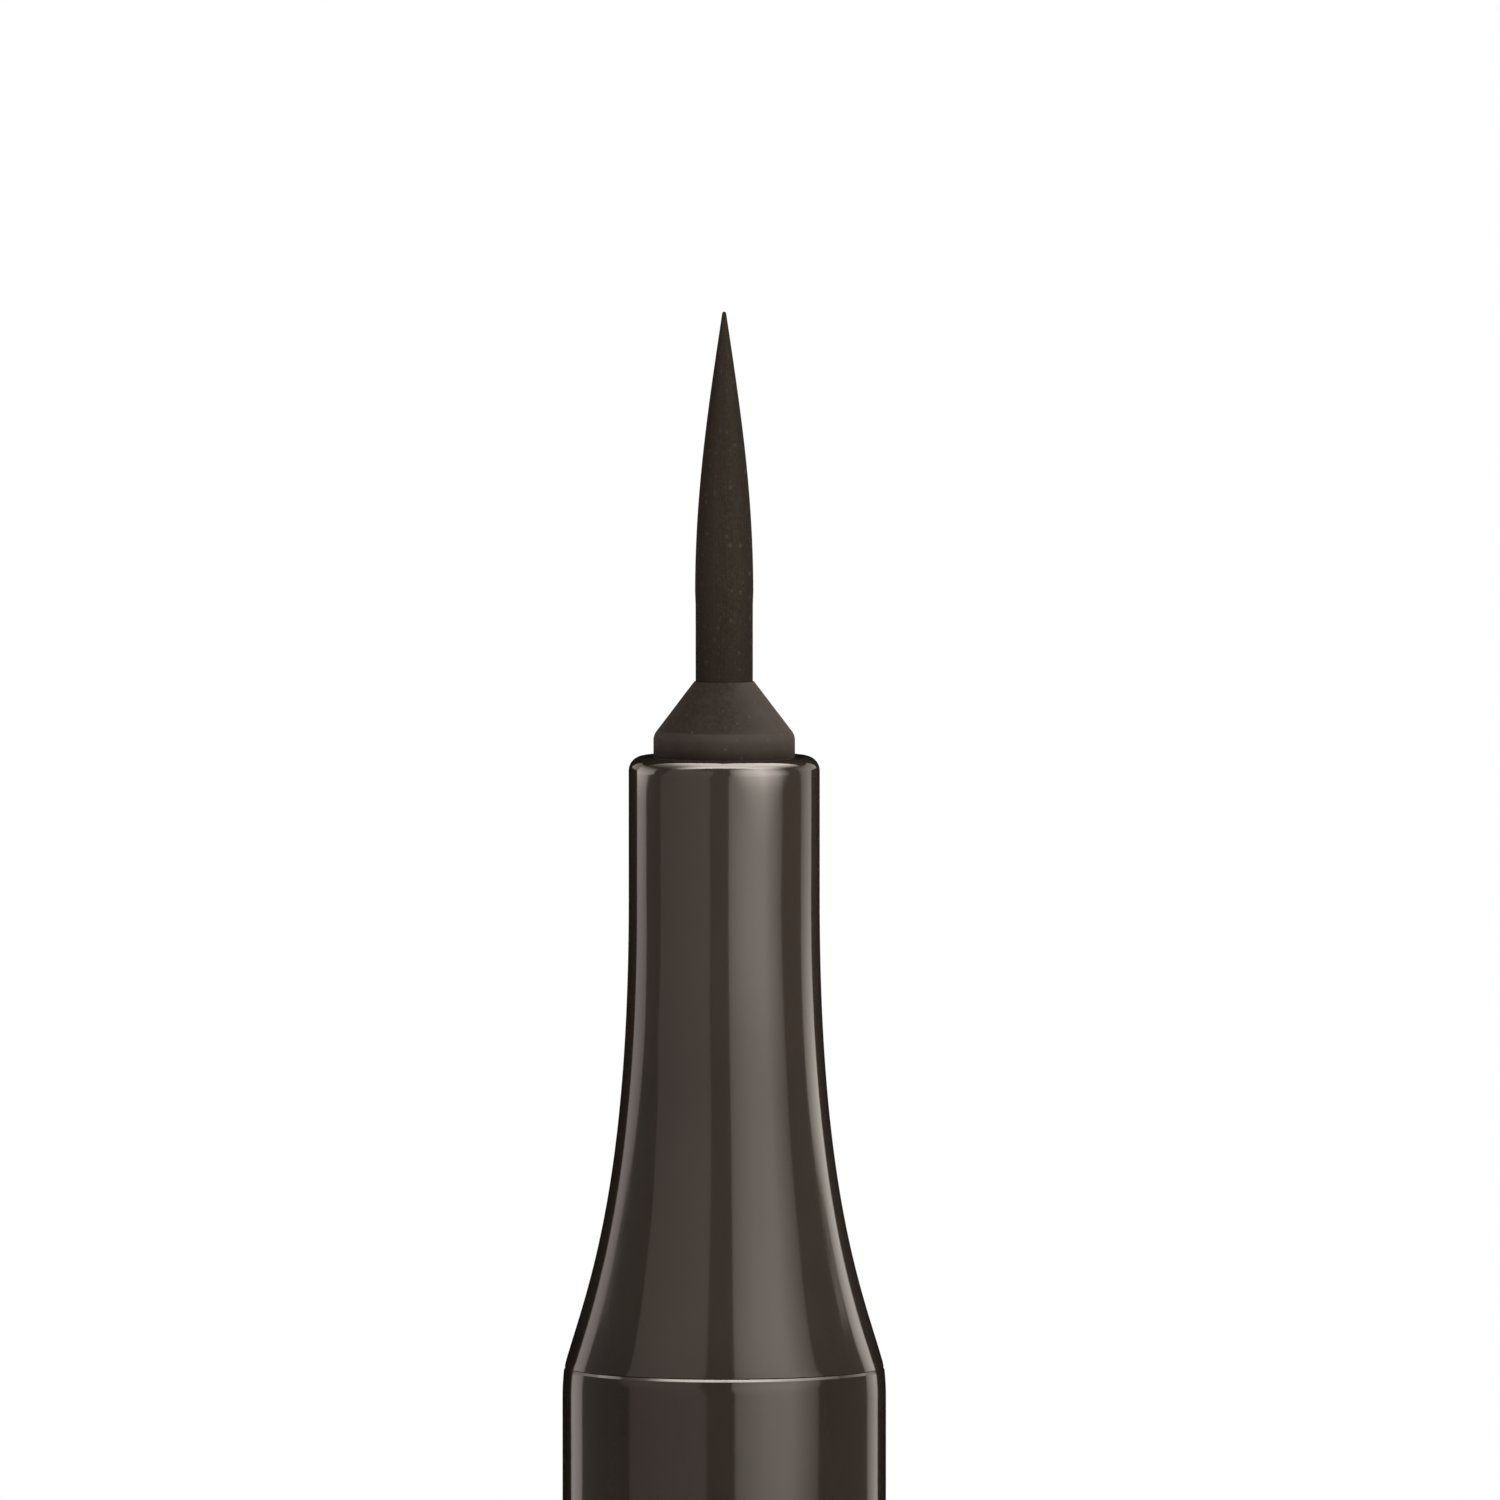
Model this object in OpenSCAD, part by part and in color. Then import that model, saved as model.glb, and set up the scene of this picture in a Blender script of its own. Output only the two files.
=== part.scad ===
// Eyebrow pen with a brush tip and a free-ink tank, standing on the cap posted on its tail.
// Millimetres. Z runs up the pen's axis to the tip, and the cap's closed end lies on Z = 0.

/* [Body] */
// Outside diameter of the barrel and of the cap
body_d = 10; // [9.9:0.1:11]
// Length of the barrel
barrel_len = 84; // [70:1:100]
// Wall of the barrel, which is the ink tank
barrel_wall = 1; // [0.9:0.02:1.05]
// Height of the small bevel at the front of the barrel
bevel_h = 0.105; // [0.06:0.005:0.15]
// Slope of that bevel, in degrees from the axis
bevel_slope = 32; // [28:1:40]
// Radius of the soft crown below the bevel
crown_r = 8; // [5:0.5:10]
// How far the crown leans in where it meets the bevel
crown_in = 0.045; // [0.03:0.005:0.06]
// Radius of the small roundings at the tail of the barrel and the rim of the cap
small_edge_r = 0.12; // [0.05:0.01:0.15]

/* [Front section] */
// Length of the front section that shows, from the seam to the top of the neck
front_len = 18.89; // [18.5:0.01:21]
// Diameter of the straight neck
neck_d = 5.9; // [5.85:0.05:6.2]
// Length of the straight neck
neck_len = 4.37; // [4:0.01:5]
// Radius of the rounded rim at the top of the neck
neck_rim_r = 0.46; // [0.3:0.02:0.5]
// Slope of the flare at its foot, in degrees from the axis
flare_slope = 16.25; // [15:0.25:19]
// How far the straight neck pulls on the flare's curve
flare_top_pull = 9; // [7:0.25:9.5]
// How far the sloping foot pulls on the flare's curve
flare_foot_pull = 2.25; // [1:0.25:3]
// Radius of the shoulder between the flare and the seam
shoulder_r = 2.6; // [1.5:0.1:3]
// Slope of the shoulder where it meets the seam, in degrees from the axis
seam_slope = 11; // [8:0.5:13]
// How far the shoulder lies inside the barrel's surface at the seam
seam_step = 0.072; // [0.05:0.002:0.09]
// Length of the plug that the barrel holds
plug_len = 26; // [26:0.5:30]
// Number of sealing rings round the plug
seal_count = 2; // [1:1:3]
// Height of a sealing ring
seal_h = 1.2; // [0.8:0.1:1.6]
// Distance from one sealing ring to the next
seal_pitch = 3.2; // [2.4:0.1:4]
// How far a sealing ring stands out of the plug
seal_proud = 0.08; // [0.05:0.01:0.12]

/* [Brush] */
// Length of the brush that shows
brush_len = 11.42; // [10:0.1:13]
// Widest diameter of the brush
brush_belly_d = 1.8; // [1.78:0.01:1.9]
// Distance from the point to the widest place
brush_belly_at = 8.65; // [7:0.1:9.5]
// Share of its widest radius by which the point is blunt
brush_blunt = 0.072; // [0.04:0.002:0.09]
// Diameter of the brush where the holder grips it
brush_shank_d = 1.77; // [1.7:0.01:1.77]
// Length of the brush inside the holder
brush_root_len = 8.32; // [7:0.1:9]
// Diameter of the fused foot of the brush
brush_foot_d = 2.6; // [2.4:0.05:2.6]
// Height of the fused foot of the brush
brush_foot_h = 0.5; // [0.4:0.05:0.8]

/* [Brush holder] */
// Diameter of the holder
holder_d = 4.37; // [4.2:0.01:4.4]
// Height of the holder's cone
cone_h = 1.66; // [1.4:0.02:2]
// Width of the rim at the top of the holder's cone
cone_rim_w = 0.02; // [0.02:0.01:0.08]
// Radius of the rounded edge between the cone and the straight part
cone_edge_r = 0.45; // [0.2:0.05:0.6]
// Height of the straight part that shows above the neck
holder_show = 0.64; // [0.5:0.01:0.9]
// Depth to which the holder sits in the neck
holder_sunk = 9; // [8.5:0.1:10]
// How far the holder's collar stands out
collar_proud = 0.29; // [0.25:0.01:0.32]
// Height of the holder's collar
collar_h = 1; // [0.8:0.1:1.5]
// Width of an air groove along the holder
air_groove_w = 0.6; // [0.4:0.05:0.8]
// Depth of an air groove along the holder
air_groove_t = 0.15; // [0.1:0.01:0.2]
// Number of air grooves along the holder
air_groove_count = 4; // [2:1:6]

/* [Ink feed] */
// Diameter of the fibre relay core
relay_d = 2; // [1.8:0.05:2]
// How far the relay core reaches out of the regulator into the tank
relay_tail = 1; // [0.6:0.1:1.5]
// How far the relay core reaches into the brush
relay_reach = 1.4; // [1:0.1:1.8]
// Length of the relay core's taper
relay_taper = 2.4; // [2:0.1:3]
// Diameter of the relay core's blunt end
relay_end_d = 0.5; // [0.3:0.05:0.8]
// Length of the regulator's shank between the holder and its fins
shank_len = 6.05; // [5.5:0.05:6.5]
// Wall of the nose tube round the relay core
nose_wall = 0.275; // [0.24:0.005:0.275]
// Wall of the plug round the regulator's fins
plug_wall = 0.6; // [0.5:0.02:0.7]
// Diameter of the stem that carries the fins
stem_d = 3.4; // [3:0.1:4]
// Thickness of a fin
fin_t = 0.35; // [0.25:0.05:0.45]
// Distance from one fin to the next
fin_pitch = 0.7; // [0.6:0.05:0.7]
// Number of fins
fin_count = 34; // [24:1:34]
// Thickness of the end discs of the regulator
disc_h = 1; // [0.8:0.1:1.4]
// Width of the ink slit
slit_w = 0.3; // [0.2:0.05:0.4]
// Width of the air notch
notch_w = 0.7; // [0.5:0.05:0.9]
// Depth of the air notch, in from the edge of the fins
notch_t = 1.1; // [0.8:0.1:1.3]

/* [Tail] */
// Free length between the spigot and the inner cap when the cap is posted
spigot_room = 1.25; // [0.8:0.05:3]
// Length of the plug's insert in the barrel
insert_len = 7; // [5:0.5:9]
// Wall of the plug's insert
tail_wall = 0.78; // [0.6:0.02:1]
// Thickness of the spigot's closed end, at its middle
tail_end_t = 1.4; // [1:0.1:2]
// Slope of the dished seat of the ball, in degrees from level
dish_slope = 30; // [20:1:35]
// Radius of the rounded end of the spigot
spigot_edge_r = 0.5; // [0.3:0.05:0.7]
// Number of grip ribs on the spigot
rib_count = 6; // [3:1:8]
// Width of a grip rib
rib_w = 0.6; // [0.4:0.05:0.7]
// Length of a grip rib
rib_len = 6; // [4:0.5:8]
// How far a grip rib stands out
rib_proud = 0.03; // [0.02:0.005:0.03]
// Diameter of the stirring ball
ball_d = 3; // [2.5:0.1:3.5]

/* [Cap] */
// Wall of the cap
cap_wall = 0.7; // [0.65:0.01:0.72]
// Thickness of the cap's closed end
cap_end_t = 1.45; // [1.2:0.05:2]
// Radius of the rounded edge of the cap's closed end
cap_edge_r = 0.6; // [0.4:0.05:0.8]
// Height above the seam at which the rim of the closed cap lies
rim_rise = 0.99; // [0.9:0.01:1.2]
// How far the bead in the cap stands in
bead_proud = 0.2; // [0.15:0.01:0.25]
// Height of the bead in the cap
bead_h = 0.8; // [0.6:0.05:1.2]
// Height of the bosses that centre the spring
boss_h = 1; // [0.6:0.1:1.2]

/* [Inner cap] */
// Length of the lip that seals round the neck
lip_len = 4.5; // [4:0.1:5]
// Wall of the lip
lip_wall = 0.63; // [0.5:0.01:0.7]
// Bore of the chamber round the brush
chamber_d = 4.7; // [4.6:0.02:4.8]
// Wall of the chamber
chamber_wall = 0.8; // [0.6:0.05:0.9]
// Free length beyond the point of the brush in the closed cap
tip_space = 1.33; // [1:0.05:2]
// Thickness of the inner cap's closed end
inner_end_t = 0.78; // [0.6:0.02:1]
// Height of the two rings that guide the inner cap
ring_h = 0.9; // [0.7:0.05:1.2]
// Distance from the mouth of the inner cap to its upper ring
ring_drop = 0.7; // [0.5:0.05:1]
// Width of the vent notches in the rings
vent_w = 1.2; // [0.8:0.1:1.6]
// Number of vent notches in a ring
vent_count = 4; // [2:1:6]
// How far closing the cap pushes the inner cap
close_push = 1.18; // [0.8:0.02:1.6]

/* [Spring] */
// Length of the spring at rest
spring_len = 6; // [5.6:0.1:7]
// Mean diameter of the spring
spring_d = 5.6; // [5.4:0.1:5.8]
// Diameter of the spring wire
wire_d = 0.45; // [0.4:0.01:0.5]
// Number of turns
spring_turns = 5; // [4:1:5]

/* [Clearances] */
// Gap round what is pressed or slid into place for good
seat_gap = 0.02; // [0.01:0.005:0.03]
// Gap between the neck and the lip of the inner cap
lip_gap = 0.02; // [0.01:0.005:0.04]
// Gap round what slides in the cap
slide_gap = 0.05; // [0.04:0.005:0.06]
// Gap between the bead and the ring that it holds back
bead_gap = 0.05; // [0.03:0.01:0.1]
// Gap round the spring's bosses
boss_gap = 0.3; // [0.25:0.05:0.5]
// Gap round the regulator in the plug
fin_gap = 0.05; // [0.04:0.01:0.08]
// Gap between the flare and the rim of the closed cap
rim_gap = 0.05; // [0.03:0.01:0.06]

/* [Hidden] */
$fn = 96;

// Steps in a short rounding and in a long curve
arc_steps = 6;
curve_steps = 20;
// What a cut runs past the face that it opens
past = 0.1;

// Foot of the flare, where the shoulder's arc begins
seam_r = body_d / 2 - seam_step;
foot_rise = shoulder_r * (sin(flare_slope) - sin(seam_slope));
foot_r = seam_r - shoulder_r * (cos(seam_slope) - cos(flare_slope));

// Length of what stands above the neck
nose_len = holder_show + cone_h + brush_len;

// Bores left by the walls
barrel_bore_r = body_d / 2 - barrel_wall;
cap_bore_r = body_d / 2 - cap_wall;

// Inside of the cap, from its closed end up
inner_z = cap_end_t + spring_len;
chamber_z = inner_z + inner_end_t;
seat_z = chamber_z + nose_len + tip_space;
inner_top_z = seat_z + lip_len;
cap_len = seat_z - close_push + front_len - rim_rise;

// Mouth of the cap, which follows the slope of the flare
mouth_r = foot_r - (rim_rise - foot_rise) * tan(flare_slope) + rim_gap;
mouth_h = (mouth_r - cap_bore_r) / tan(flare_slope);

// Heights of the pen on its posted cap
seam_z = cap_len + barrel_len;
neck_z = seam_z + front_len;
cone_z = neck_z + holder_show;
exit_z = cone_z + cone_h;
point_z = exit_z + brush_len;
root_z = exit_z - brush_root_len;
step_z = neck_z - holder_sunk;
collar_z = step_z - collar_h;
fins_z = collar_z - shank_len;
disc_z = fins_z - disc_h;
tail_disc_z = disc_z - fin_count * fin_pitch - (fin_pitch - fin_t);
regulator_z = tail_disc_z - disc_h;
plug_z = seam_z - plug_len;

// Radii that follow from a neighbour and a clearance
collar_r = holder_d / 2 + collar_proud;
holder_bore_r = brush_shank_d / 2 + seat_gap;
cone_top_r = holder_bore_r + cone_rim_w;
relay_bore_r = relay_d / 2 + seat_gap;
nose_r = relay_bore_r + nose_wall;
holder_well_r = max(nose_r, brush_foot_d / 2) + seat_gap;
collar_bore_r = collar_r + seat_gap;
seal_r = barrel_bore_r - seat_gap;
plug_r = seal_r - seal_proud;
fin_bore_r = plug_r - plug_wall;
fin_r = fin_bore_r - fin_gap;
tail_bore_r = seal_r - tail_wall;
spigot_r = cap_bore_r - slide_gap;
guide_r = cap_bore_r - slide_gap;
lip_bore_r = neck_d / 2 + lip_gap;
lip_r = lip_bore_r + lip_wall;
chamber_r = chamber_d / 2 + chamber_wall;

// Rings in a turn of the spring and sides of its wire
curl_rings = 8;
wire_sides = 6;
spring_sag = spring_d / 2 * (1 - cos(180 / curl_rings));
boss_r = (spring_d - wire_d) / 2 - spring_sag - boss_gap;

// Points of an arc about a centre, from one angle to another
function arc(centre, r, from, to) =
    [for (i = [0:arc_steps])
        let (angle = from + (to - from) * i / arc_steps)
        centre + r * [cos(angle), sin(angle)]];

// Point of a cubic curve with four control points
function cubic(p, t) =
    pow(1 - t, 3) * p[0] + 3 * t * pow(1 - t, 2) * p[1] + 3 * t * t * (1 - t) * p[2] + pow(t, 3) * p[3];

// Outline turned round the axis: radii run along X and heights along Y
module turned(outline) {
    rotate_extrude()
        polygon(outline);
}

// Round hole along the axis
module bore(r, from_z, to_z) {
    translate([0, 0, from_z])
        cylinder(r = r, h = to_z - from_z);
}

// Child repeated at equal angles round the axis
module round_axis(count) {
    for (i = [0:count - 1])
        rotate([0, 0, i * 360 / count])
            children();
}

// Curve of the brush from its rounded point down to its widest place
function brush_r(t) = brush_belly_d / 2 * (sin(90 * t) + brush_blunt * pow(1 - t, 2));
blunt_r = brush_r(0);
function brush_z(t) = point_z - blunt_r - t * (brush_belly_at - blunt_r);

module brush_tip() {
    outline = concat(
        arc([0, point_z - blunt_r], blunt_r, 90, 0),
        [for (i = [1:curve_steps]) [brush_r(i / curve_steps), brush_z(i / curve_steps)]],
        [[brush_shank_d / 2, exit_z],
         [brush_shank_d / 2, root_z + brush_foot_h],
         [brush_foot_d / 2, root_z + brush_foot_h],
         [brush_foot_d / 2, root_z],
         [0, root_z]]);
    color("#332b25")
        difference() {
            turned(outline);
            translate([0, 0, root_z - past])
                cylinder(r1 = relay_r(root_z - past) + seat_gap, r2 = relay_end_d / 2 + seat_gap,
                         h = relay_reach + past + seat_gap);
        }
}

// Radius of the relay core's taper at a height
relay_top_z = root_z + relay_reach;
relay_slope = (relay_d - relay_end_d) / 2 / relay_taper;
function relay_r(z) = relay_end_d / 2 + (relay_top_z - z) * relay_slope;

module relay_core() {
    relay_z = regulator_z - relay_tail;
    color("#6b5a4a")
        turned([[0, relay_z],
                [relay_d / 2, relay_z],
                [relay_d / 2, relay_top_z - relay_taper],
                [relay_end_d / 2, relay_top_z],
                [0, relay_top_z]]);
}

module brush_holder() {
    cone_slope = atan((holder_d / 2 - cone_top_r) / cone_h);
    edge_centre = [holder_d / 2 - cone_edge_r, cone_z - cone_edge_r * tan(cone_slope / 2)];
    outline = concat(
        [[0, collar_z],
         [collar_r, collar_z],
         [collar_r, step_z],
         [holder_d / 2, step_z]],
        arc(edge_centre, cone_edge_r, 0, cone_slope),
        [[cone_top_r, exit_z],
         [0, exit_z]]);
    color("#443a33")
        difference() {
            turned(outline);
            bore(holder_bore_r, collar_z, exit_z + past);
            bore(holder_well_r, collar_z - past, root_z + brush_foot_h);
            round_axis(air_groove_count)
                translate([holder_d / 2 - air_groove_t, -air_groove_w / 2, collar_z - past])
                    cube([collar_proud + air_groove_t + past, air_groove_w, holder_sunk + collar_h]);
        }
}

// Fins of the regulator from the upper disc down, as steps of its outline
function fin_steps() =
    [for (i = [1:fin_count])
        let (low_z = disc_z - i * fin_pitch, high_z = low_z + fin_t)
        each [[stem_d / 2, high_z], [fin_r, high_z], [fin_r, low_z], [stem_d / 2, low_z]]];

module ink_regulator() {
    outline = concat(
        [[relay_bore_r, root_z],
         [nose_r, root_z],
         [nose_r, collar_z],
         [collar_r, collar_z],
         [collar_r, fins_z],
         [fin_r, fins_z],
         [fin_r, disc_z],
         [stem_d / 2, disc_z]],
        fin_steps(),
        [[stem_d / 2, tail_disc_z],
         [fin_r, tail_disc_z],
         [fin_r, regulator_z],
         [relay_bore_r, regulator_z]]);
    color("#d8d2c6")
        difference() {
            turned(outline);
            translate([0, -slit_w / 2, regulator_z - past])
                cube([fin_r + past, slit_w, disc_z - regulator_z + past]);
            translate([-fin_r - past, -notch_w / 2, tail_disc_z])
                cube([notch_t + past, notch_w, fins_z - tail_disc_z + past]);
        }
}

// Outside of the flare and shoulder, from the neck down to the seam
flare_head = [neck_d / 2, neck_z - neck_len];
flare_foot = [foot_r, seam_z + foot_rise];
flare_curve = [flare_head,
               flare_head - flare_top_pull * [0, 1],
               flare_foot + flare_foot_pull * [-sin(flare_slope), cos(flare_slope)],
               flare_foot];
shoulder_centre = flare_foot - shoulder_r * [cos(flare_slope), sin(flare_slope)];

module front_section() {
    rim_centre = [neck_d / 2 - neck_rim_r, neck_z - neck_rim_r];
    outline = concat(
        [[0, neck_z]],
        arc(rim_centre, neck_rim_r, 90, 0),
        [for (i = [0:curve_steps]) cubic(flare_curve, i / curve_steps)],
        arc(shoulder_centre, shoulder_r, flare_slope, seam_slope),
        [[plug_r, seam_z],
         [plug_r, plug_z],
         [0, plug_z]]);
    color("#3a302b")
        difference() {
            union() {
                turned(outline);
                for (i = [1:seal_count])
                    translate([0, 0, seam_z - i * seal_pitch])
                        cylinder(r = seal_r, h = seal_h);
            }
            bore(holder_d / 2 + seat_gap, step_z - past, neck_z + past);
            bore(collar_bore_r, fins_z - past, step_z);
            bore(fin_bore_r, plug_z - past, fins_z);
        }
}

module barrel() {
    crown_angle = acos(1 - crown_in / crown_r);
    bevel_foot = [body_d / 2 - crown_in, seam_z - bevel_h];
    crown_centre = bevel_foot - crown_r * [cos(crown_angle), sin(crown_angle)];
    tail_centre = [body_d / 2 - small_edge_r, cap_len + small_edge_r];
    outline = concat(
        [[barrel_bore_r, cap_len]],
        arc(tail_centre, small_edge_r, -90, 0),
        arc(crown_centre, crown_r, 0, crown_angle),
        [[bevel_foot[0] - bevel_h * tan(bevel_slope), seam_z],
         [barrel_bore_r, seam_z]]);
    color("#2e2622")
        turned(outline);
}

// Closed end of the spigot, and the seat of the ball in it
spigot_z = inner_top_z + spigot_room;
dish_z = spigot_z + tail_end_t;
ball_z = dish_z + ball_d / 2 / cos(dish_slope) + seat_gap;

module stirring_ball() {
    color("silver")
        translate([0, 0, ball_z])
            sphere(d = ball_d);
}

module tail_plug() {
    outline = concat(
        [[0, spigot_z]],
        arc([spigot_r - spigot_edge_r, spigot_z + spigot_edge_r], spigot_edge_r, -90, 0),
        [[spigot_r, cap_len],
         [seal_r, cap_len],
         [seal_r, cap_len + insert_len],
         [tail_bore_r, cap_len + insert_len],
         [tail_bore_r, dish_z + tail_bore_r * tan(dish_slope)],
         [0, dish_z]]);
    color("#2e2622")
        union() {
            turned(outline);
            round_axis(rib_count)
                translate([spigot_r - rib_proud, -rib_w / 2, cap_len - past - rib_len])
                    cube([2 * rib_proud, rib_w, rib_len]);
        }
}

module cap() {
    bead_low_z = inner_z + ring_h + bead_gap;
    rim_centre = [body_d / 2 - small_edge_r, cap_len - small_edge_r];
    outline = concat(
        [[0, 0]],
        arc([body_d / 2 - cap_edge_r, cap_edge_r], cap_edge_r, -90, 0),
        arc(rim_centre, small_edge_r, 0, 90),
        [[mouth_r, cap_len],
         [cap_bore_r, cap_len - mouth_h],
         [cap_bore_r, bead_low_z + bead_h],
         [cap_bore_r - bead_proud, bead_low_z + bead_h / 2],
         [cap_bore_r - bead_proud, bead_low_z],
         [cap_bore_r, bead_low_z],
         [cap_bore_r, cap_end_t],
         [boss_r, cap_end_t],
         [boss_r, cap_end_t + boss_h],
         [0, cap_end_t + boss_h]]);
    color("#2e2622")
        turned(outline);
}

module inner_cap() {
    ring_z = inner_top_z - ring_drop - ring_h;
    lead = lip_wall / 2;
    outline = [[0, inner_z - boss_h],
               [boss_r, inner_z - boss_h],
               [boss_r, inner_z],
               [guide_r, inner_z],
               [guide_r, inner_z + ring_h],
               [chamber_r, inner_z + ring_h],
               [chamber_r, seat_z - ring_h],
               [lip_r, seat_z],
               [lip_r, ring_z],
               [guide_r, ring_z],
               [guide_r, ring_z + ring_h],
               [lip_r, ring_z + ring_h],
               [lip_r, inner_top_z],
               [lip_bore_r + lead, inner_top_z],
               [lip_bore_r, inner_top_z - lead],
               [lip_bore_r, seat_z],
               [chamber_d / 2, seat_z],
               [chamber_d / 2, chamber_z],
               [0, chamber_z]];
    color("#4a423c")
        difference() {
            turned(outline);
            round_axis(vent_count)
                translate([lip_r + seat_gap, -vent_w / 2, inner_z - past])
                    cube([guide_r, vent_w, inner_top_z - inner_z + 2 * past]);
        }
}

// Path of the spring wire, from one end to the other
wire_rings = spring_turns * curl_rings;
function wire_at(i) =
    [spring_d / 2 * cos(i * 360 / curl_rings),
     spring_d / 2 * sin(i * 360 / curl_rings),
     cap_end_t + wire_d / 2 + (spring_len - wire_d) * i / wire_rings];
wire_path = [for (i = [0:wire_rings]) wire_at(i)];
wire_skin = [for (i = [0:wire_rings])
    let (out = [cos(i * 360 / curl_rings), sin(i * 360 / curl_rings), 0])
    for (j = [0:wire_sides - 1])
        wire_path[i] + wire_d / 2 * (cos(j * 360 / wire_sides) * out + [0, 0, sin(j * 360 / wire_sides)])];
least_gap = min([for (i = [0:wire_rings - curl_rings / 2]) for (j = [i + curl_rings / 2:wire_rings])
    norm(wire_path[i] - wire_path[j])]) - wire_d;
echo(least_gap_of_the_spring_to_itself = least_gap);

// Faces of a closed tube of rings
function tube_faces(rings, sides) = concat(
    [[for (j = [sides - 1:-1:0]) j]],
    [for (i = [0:rings - 1]) for (j = [0:sides - 1])
        let (a = i * sides + j, b = i * sides + (j + 1) % sides)
        each [[a, b, b + sides], [a, b + sides, a + sides]]],
    [[for (j = [0:sides - 1]) rings * sides + j]]);

module cap_spring() {
    color("silver")
        polyhedron(points = wire_skin, faces = tube_faces(wire_rings, wire_sides));
}

brush_tip();
brush_holder();
relay_core();
ink_regulator();
front_section();
barrel();
stirring_ball();
tail_plug();
cap();
inner_cap();
cap_spring();
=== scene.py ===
# %% [markdown]
# # An eyebrow pen with a brush tip
#
# The pen is a dark glossy tube with a slimmer front, a small holder and a fine pointed brush.
# It stands upright on its own cap, which is pushed onto the tail.
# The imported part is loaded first. It is the fixed frame: every piece here sits where the part says,
# and rides on one of its bodies, so that it moves when the part moves.

# %% Load the frame
import math

import bmesh
import bpy
import numpy as np
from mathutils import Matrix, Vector


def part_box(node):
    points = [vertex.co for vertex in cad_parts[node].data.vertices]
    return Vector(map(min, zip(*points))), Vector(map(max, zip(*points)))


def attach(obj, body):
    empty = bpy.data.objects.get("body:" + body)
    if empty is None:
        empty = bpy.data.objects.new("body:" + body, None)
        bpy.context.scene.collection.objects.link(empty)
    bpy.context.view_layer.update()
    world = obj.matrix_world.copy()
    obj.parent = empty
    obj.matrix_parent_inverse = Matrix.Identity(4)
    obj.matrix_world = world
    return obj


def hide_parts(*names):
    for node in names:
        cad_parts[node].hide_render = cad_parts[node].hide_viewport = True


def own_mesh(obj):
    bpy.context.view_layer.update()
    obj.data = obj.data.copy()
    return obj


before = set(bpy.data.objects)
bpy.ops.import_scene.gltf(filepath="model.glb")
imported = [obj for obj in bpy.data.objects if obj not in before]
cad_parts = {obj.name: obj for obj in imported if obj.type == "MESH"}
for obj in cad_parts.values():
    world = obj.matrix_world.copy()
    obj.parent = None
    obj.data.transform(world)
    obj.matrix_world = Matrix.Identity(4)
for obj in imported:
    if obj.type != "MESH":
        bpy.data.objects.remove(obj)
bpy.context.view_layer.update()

print("nodes of the part:", sorted(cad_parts))

# %% [markdown]
# ## Heights and radii from the part
#
# The outlines below are written in millimetres, as a turner would write them.
# Wherever a height or a radius can be read from a node's box, it is, so a part that was resized
# still gets pieces that fit.

# %% Read the part's boxes
MM = 0.001


def foot_of(node):
    """Height of the node's lowest point."""
    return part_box(node)[0].z / MM


def head_of(node):
    """Height of the node's highest point."""
    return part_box(node)[1].z / MM


def radius_of(node):
    """Radius of the round node at its widest."""
    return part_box(node)[1].x / MM


seam_z = head_of("barrel")
neck_z = head_of("front_section")
point_z = head_of("brush_tip")
exit_z = head_of("brush_holder")
cap_top_z = head_of("cap")
body_r = radius_of("barrel")
print(f"seam {seam_z:.2f}, neck {neck_z:.2f}, holder {exit_z:.2f}, point {point_z:.2f} mm up")

# %% [markdown]
# ## Camera
#
# The photograph was taken from far away with a long lens, slightly from above, so the ring of the
# seam sags a little in the middle and the sides stay parallel. A 600 mm lens a good 0.77 m away
# gives that. The camera looks along +Y at the upper part of the pen.

# %% Place the camera
lens_length = 600
sensor_w = 36
camera_away = 771.6
camera_pitch = math.radians(3.2)
aim_right = 0.796
aim_over_seam = 19.07


def placed(name, data):
    """A new object in the scene that shows this data."""
    made = bpy.data.objects.new(name, data)
    bpy.context.scene.collection.objects.link(made)
    return made


camera_data = bpy.data.cameras.new("long_lens")
camera_data.lens = lens_length
camera_data.sensor_width = sensor_w
camera = placed("camera", camera_data)
aim = Vector((aim_right, 0, seam_z + aim_over_seam)) * MM
look = Vector((0, math.cos(camera_pitch), -math.sin(camera_pitch)))
camera.location = aim - look * camera_away * MM
camera.rotation_mode = "QUATERNION"
camera.rotation_quaternion = look.to_track_quat("-Z", "Y")
camera_data.clip_start = 0.05
camera_data.clip_end = 20
bpy.context.scene.camera = camera
print(f"the image is {sensor_w / lens_length * camera_away:.1f} mm wide")

# %% [markdown]
# ## Turned shapes
#
# Nearly all of the pen is round, so its pieces could be turned from an outline with a Screw or a
# Spin. Here a small function places the rings itself. It lets a piece change its radius with the
# angle, which gives the brush its filaments, the holder its air grooves and the tail its ribs.
# Long straight runs get an extra ring close to each end. Without it, the soft shading of a rounded
# edge would creep along the whole run and bend the reflections.

# %% Outline helpers
# How close to a corner the extra ring stands, in millimetres.
HOLD = 0.04


def arc(centre, radius, start, end, steps):
    """Points of an arc in an outline. Angles are in degrees, from level outwards to straight up."""
    angles = np.radians(np.linspace(start, end, steps + 1))
    return [(centre[0] + radius * math.cos(a), centre[1] + radius * math.sin(a)) for a in angles]


def cubic(points, steps):
    """Points of a cubic curve with four control points."""
    p = np.array(points, float)
    made = []
    for t in np.linspace(0, 1, steps + 1):
        made.append((1 - t) ** 3 * p[0] + 3 * t * (1 - t) ** 2 * p[1]
                    + 3 * t * t * (1 - t) * p[2] + t ** 3 * p[3])
    return [tuple(point) for point in made]


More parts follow.
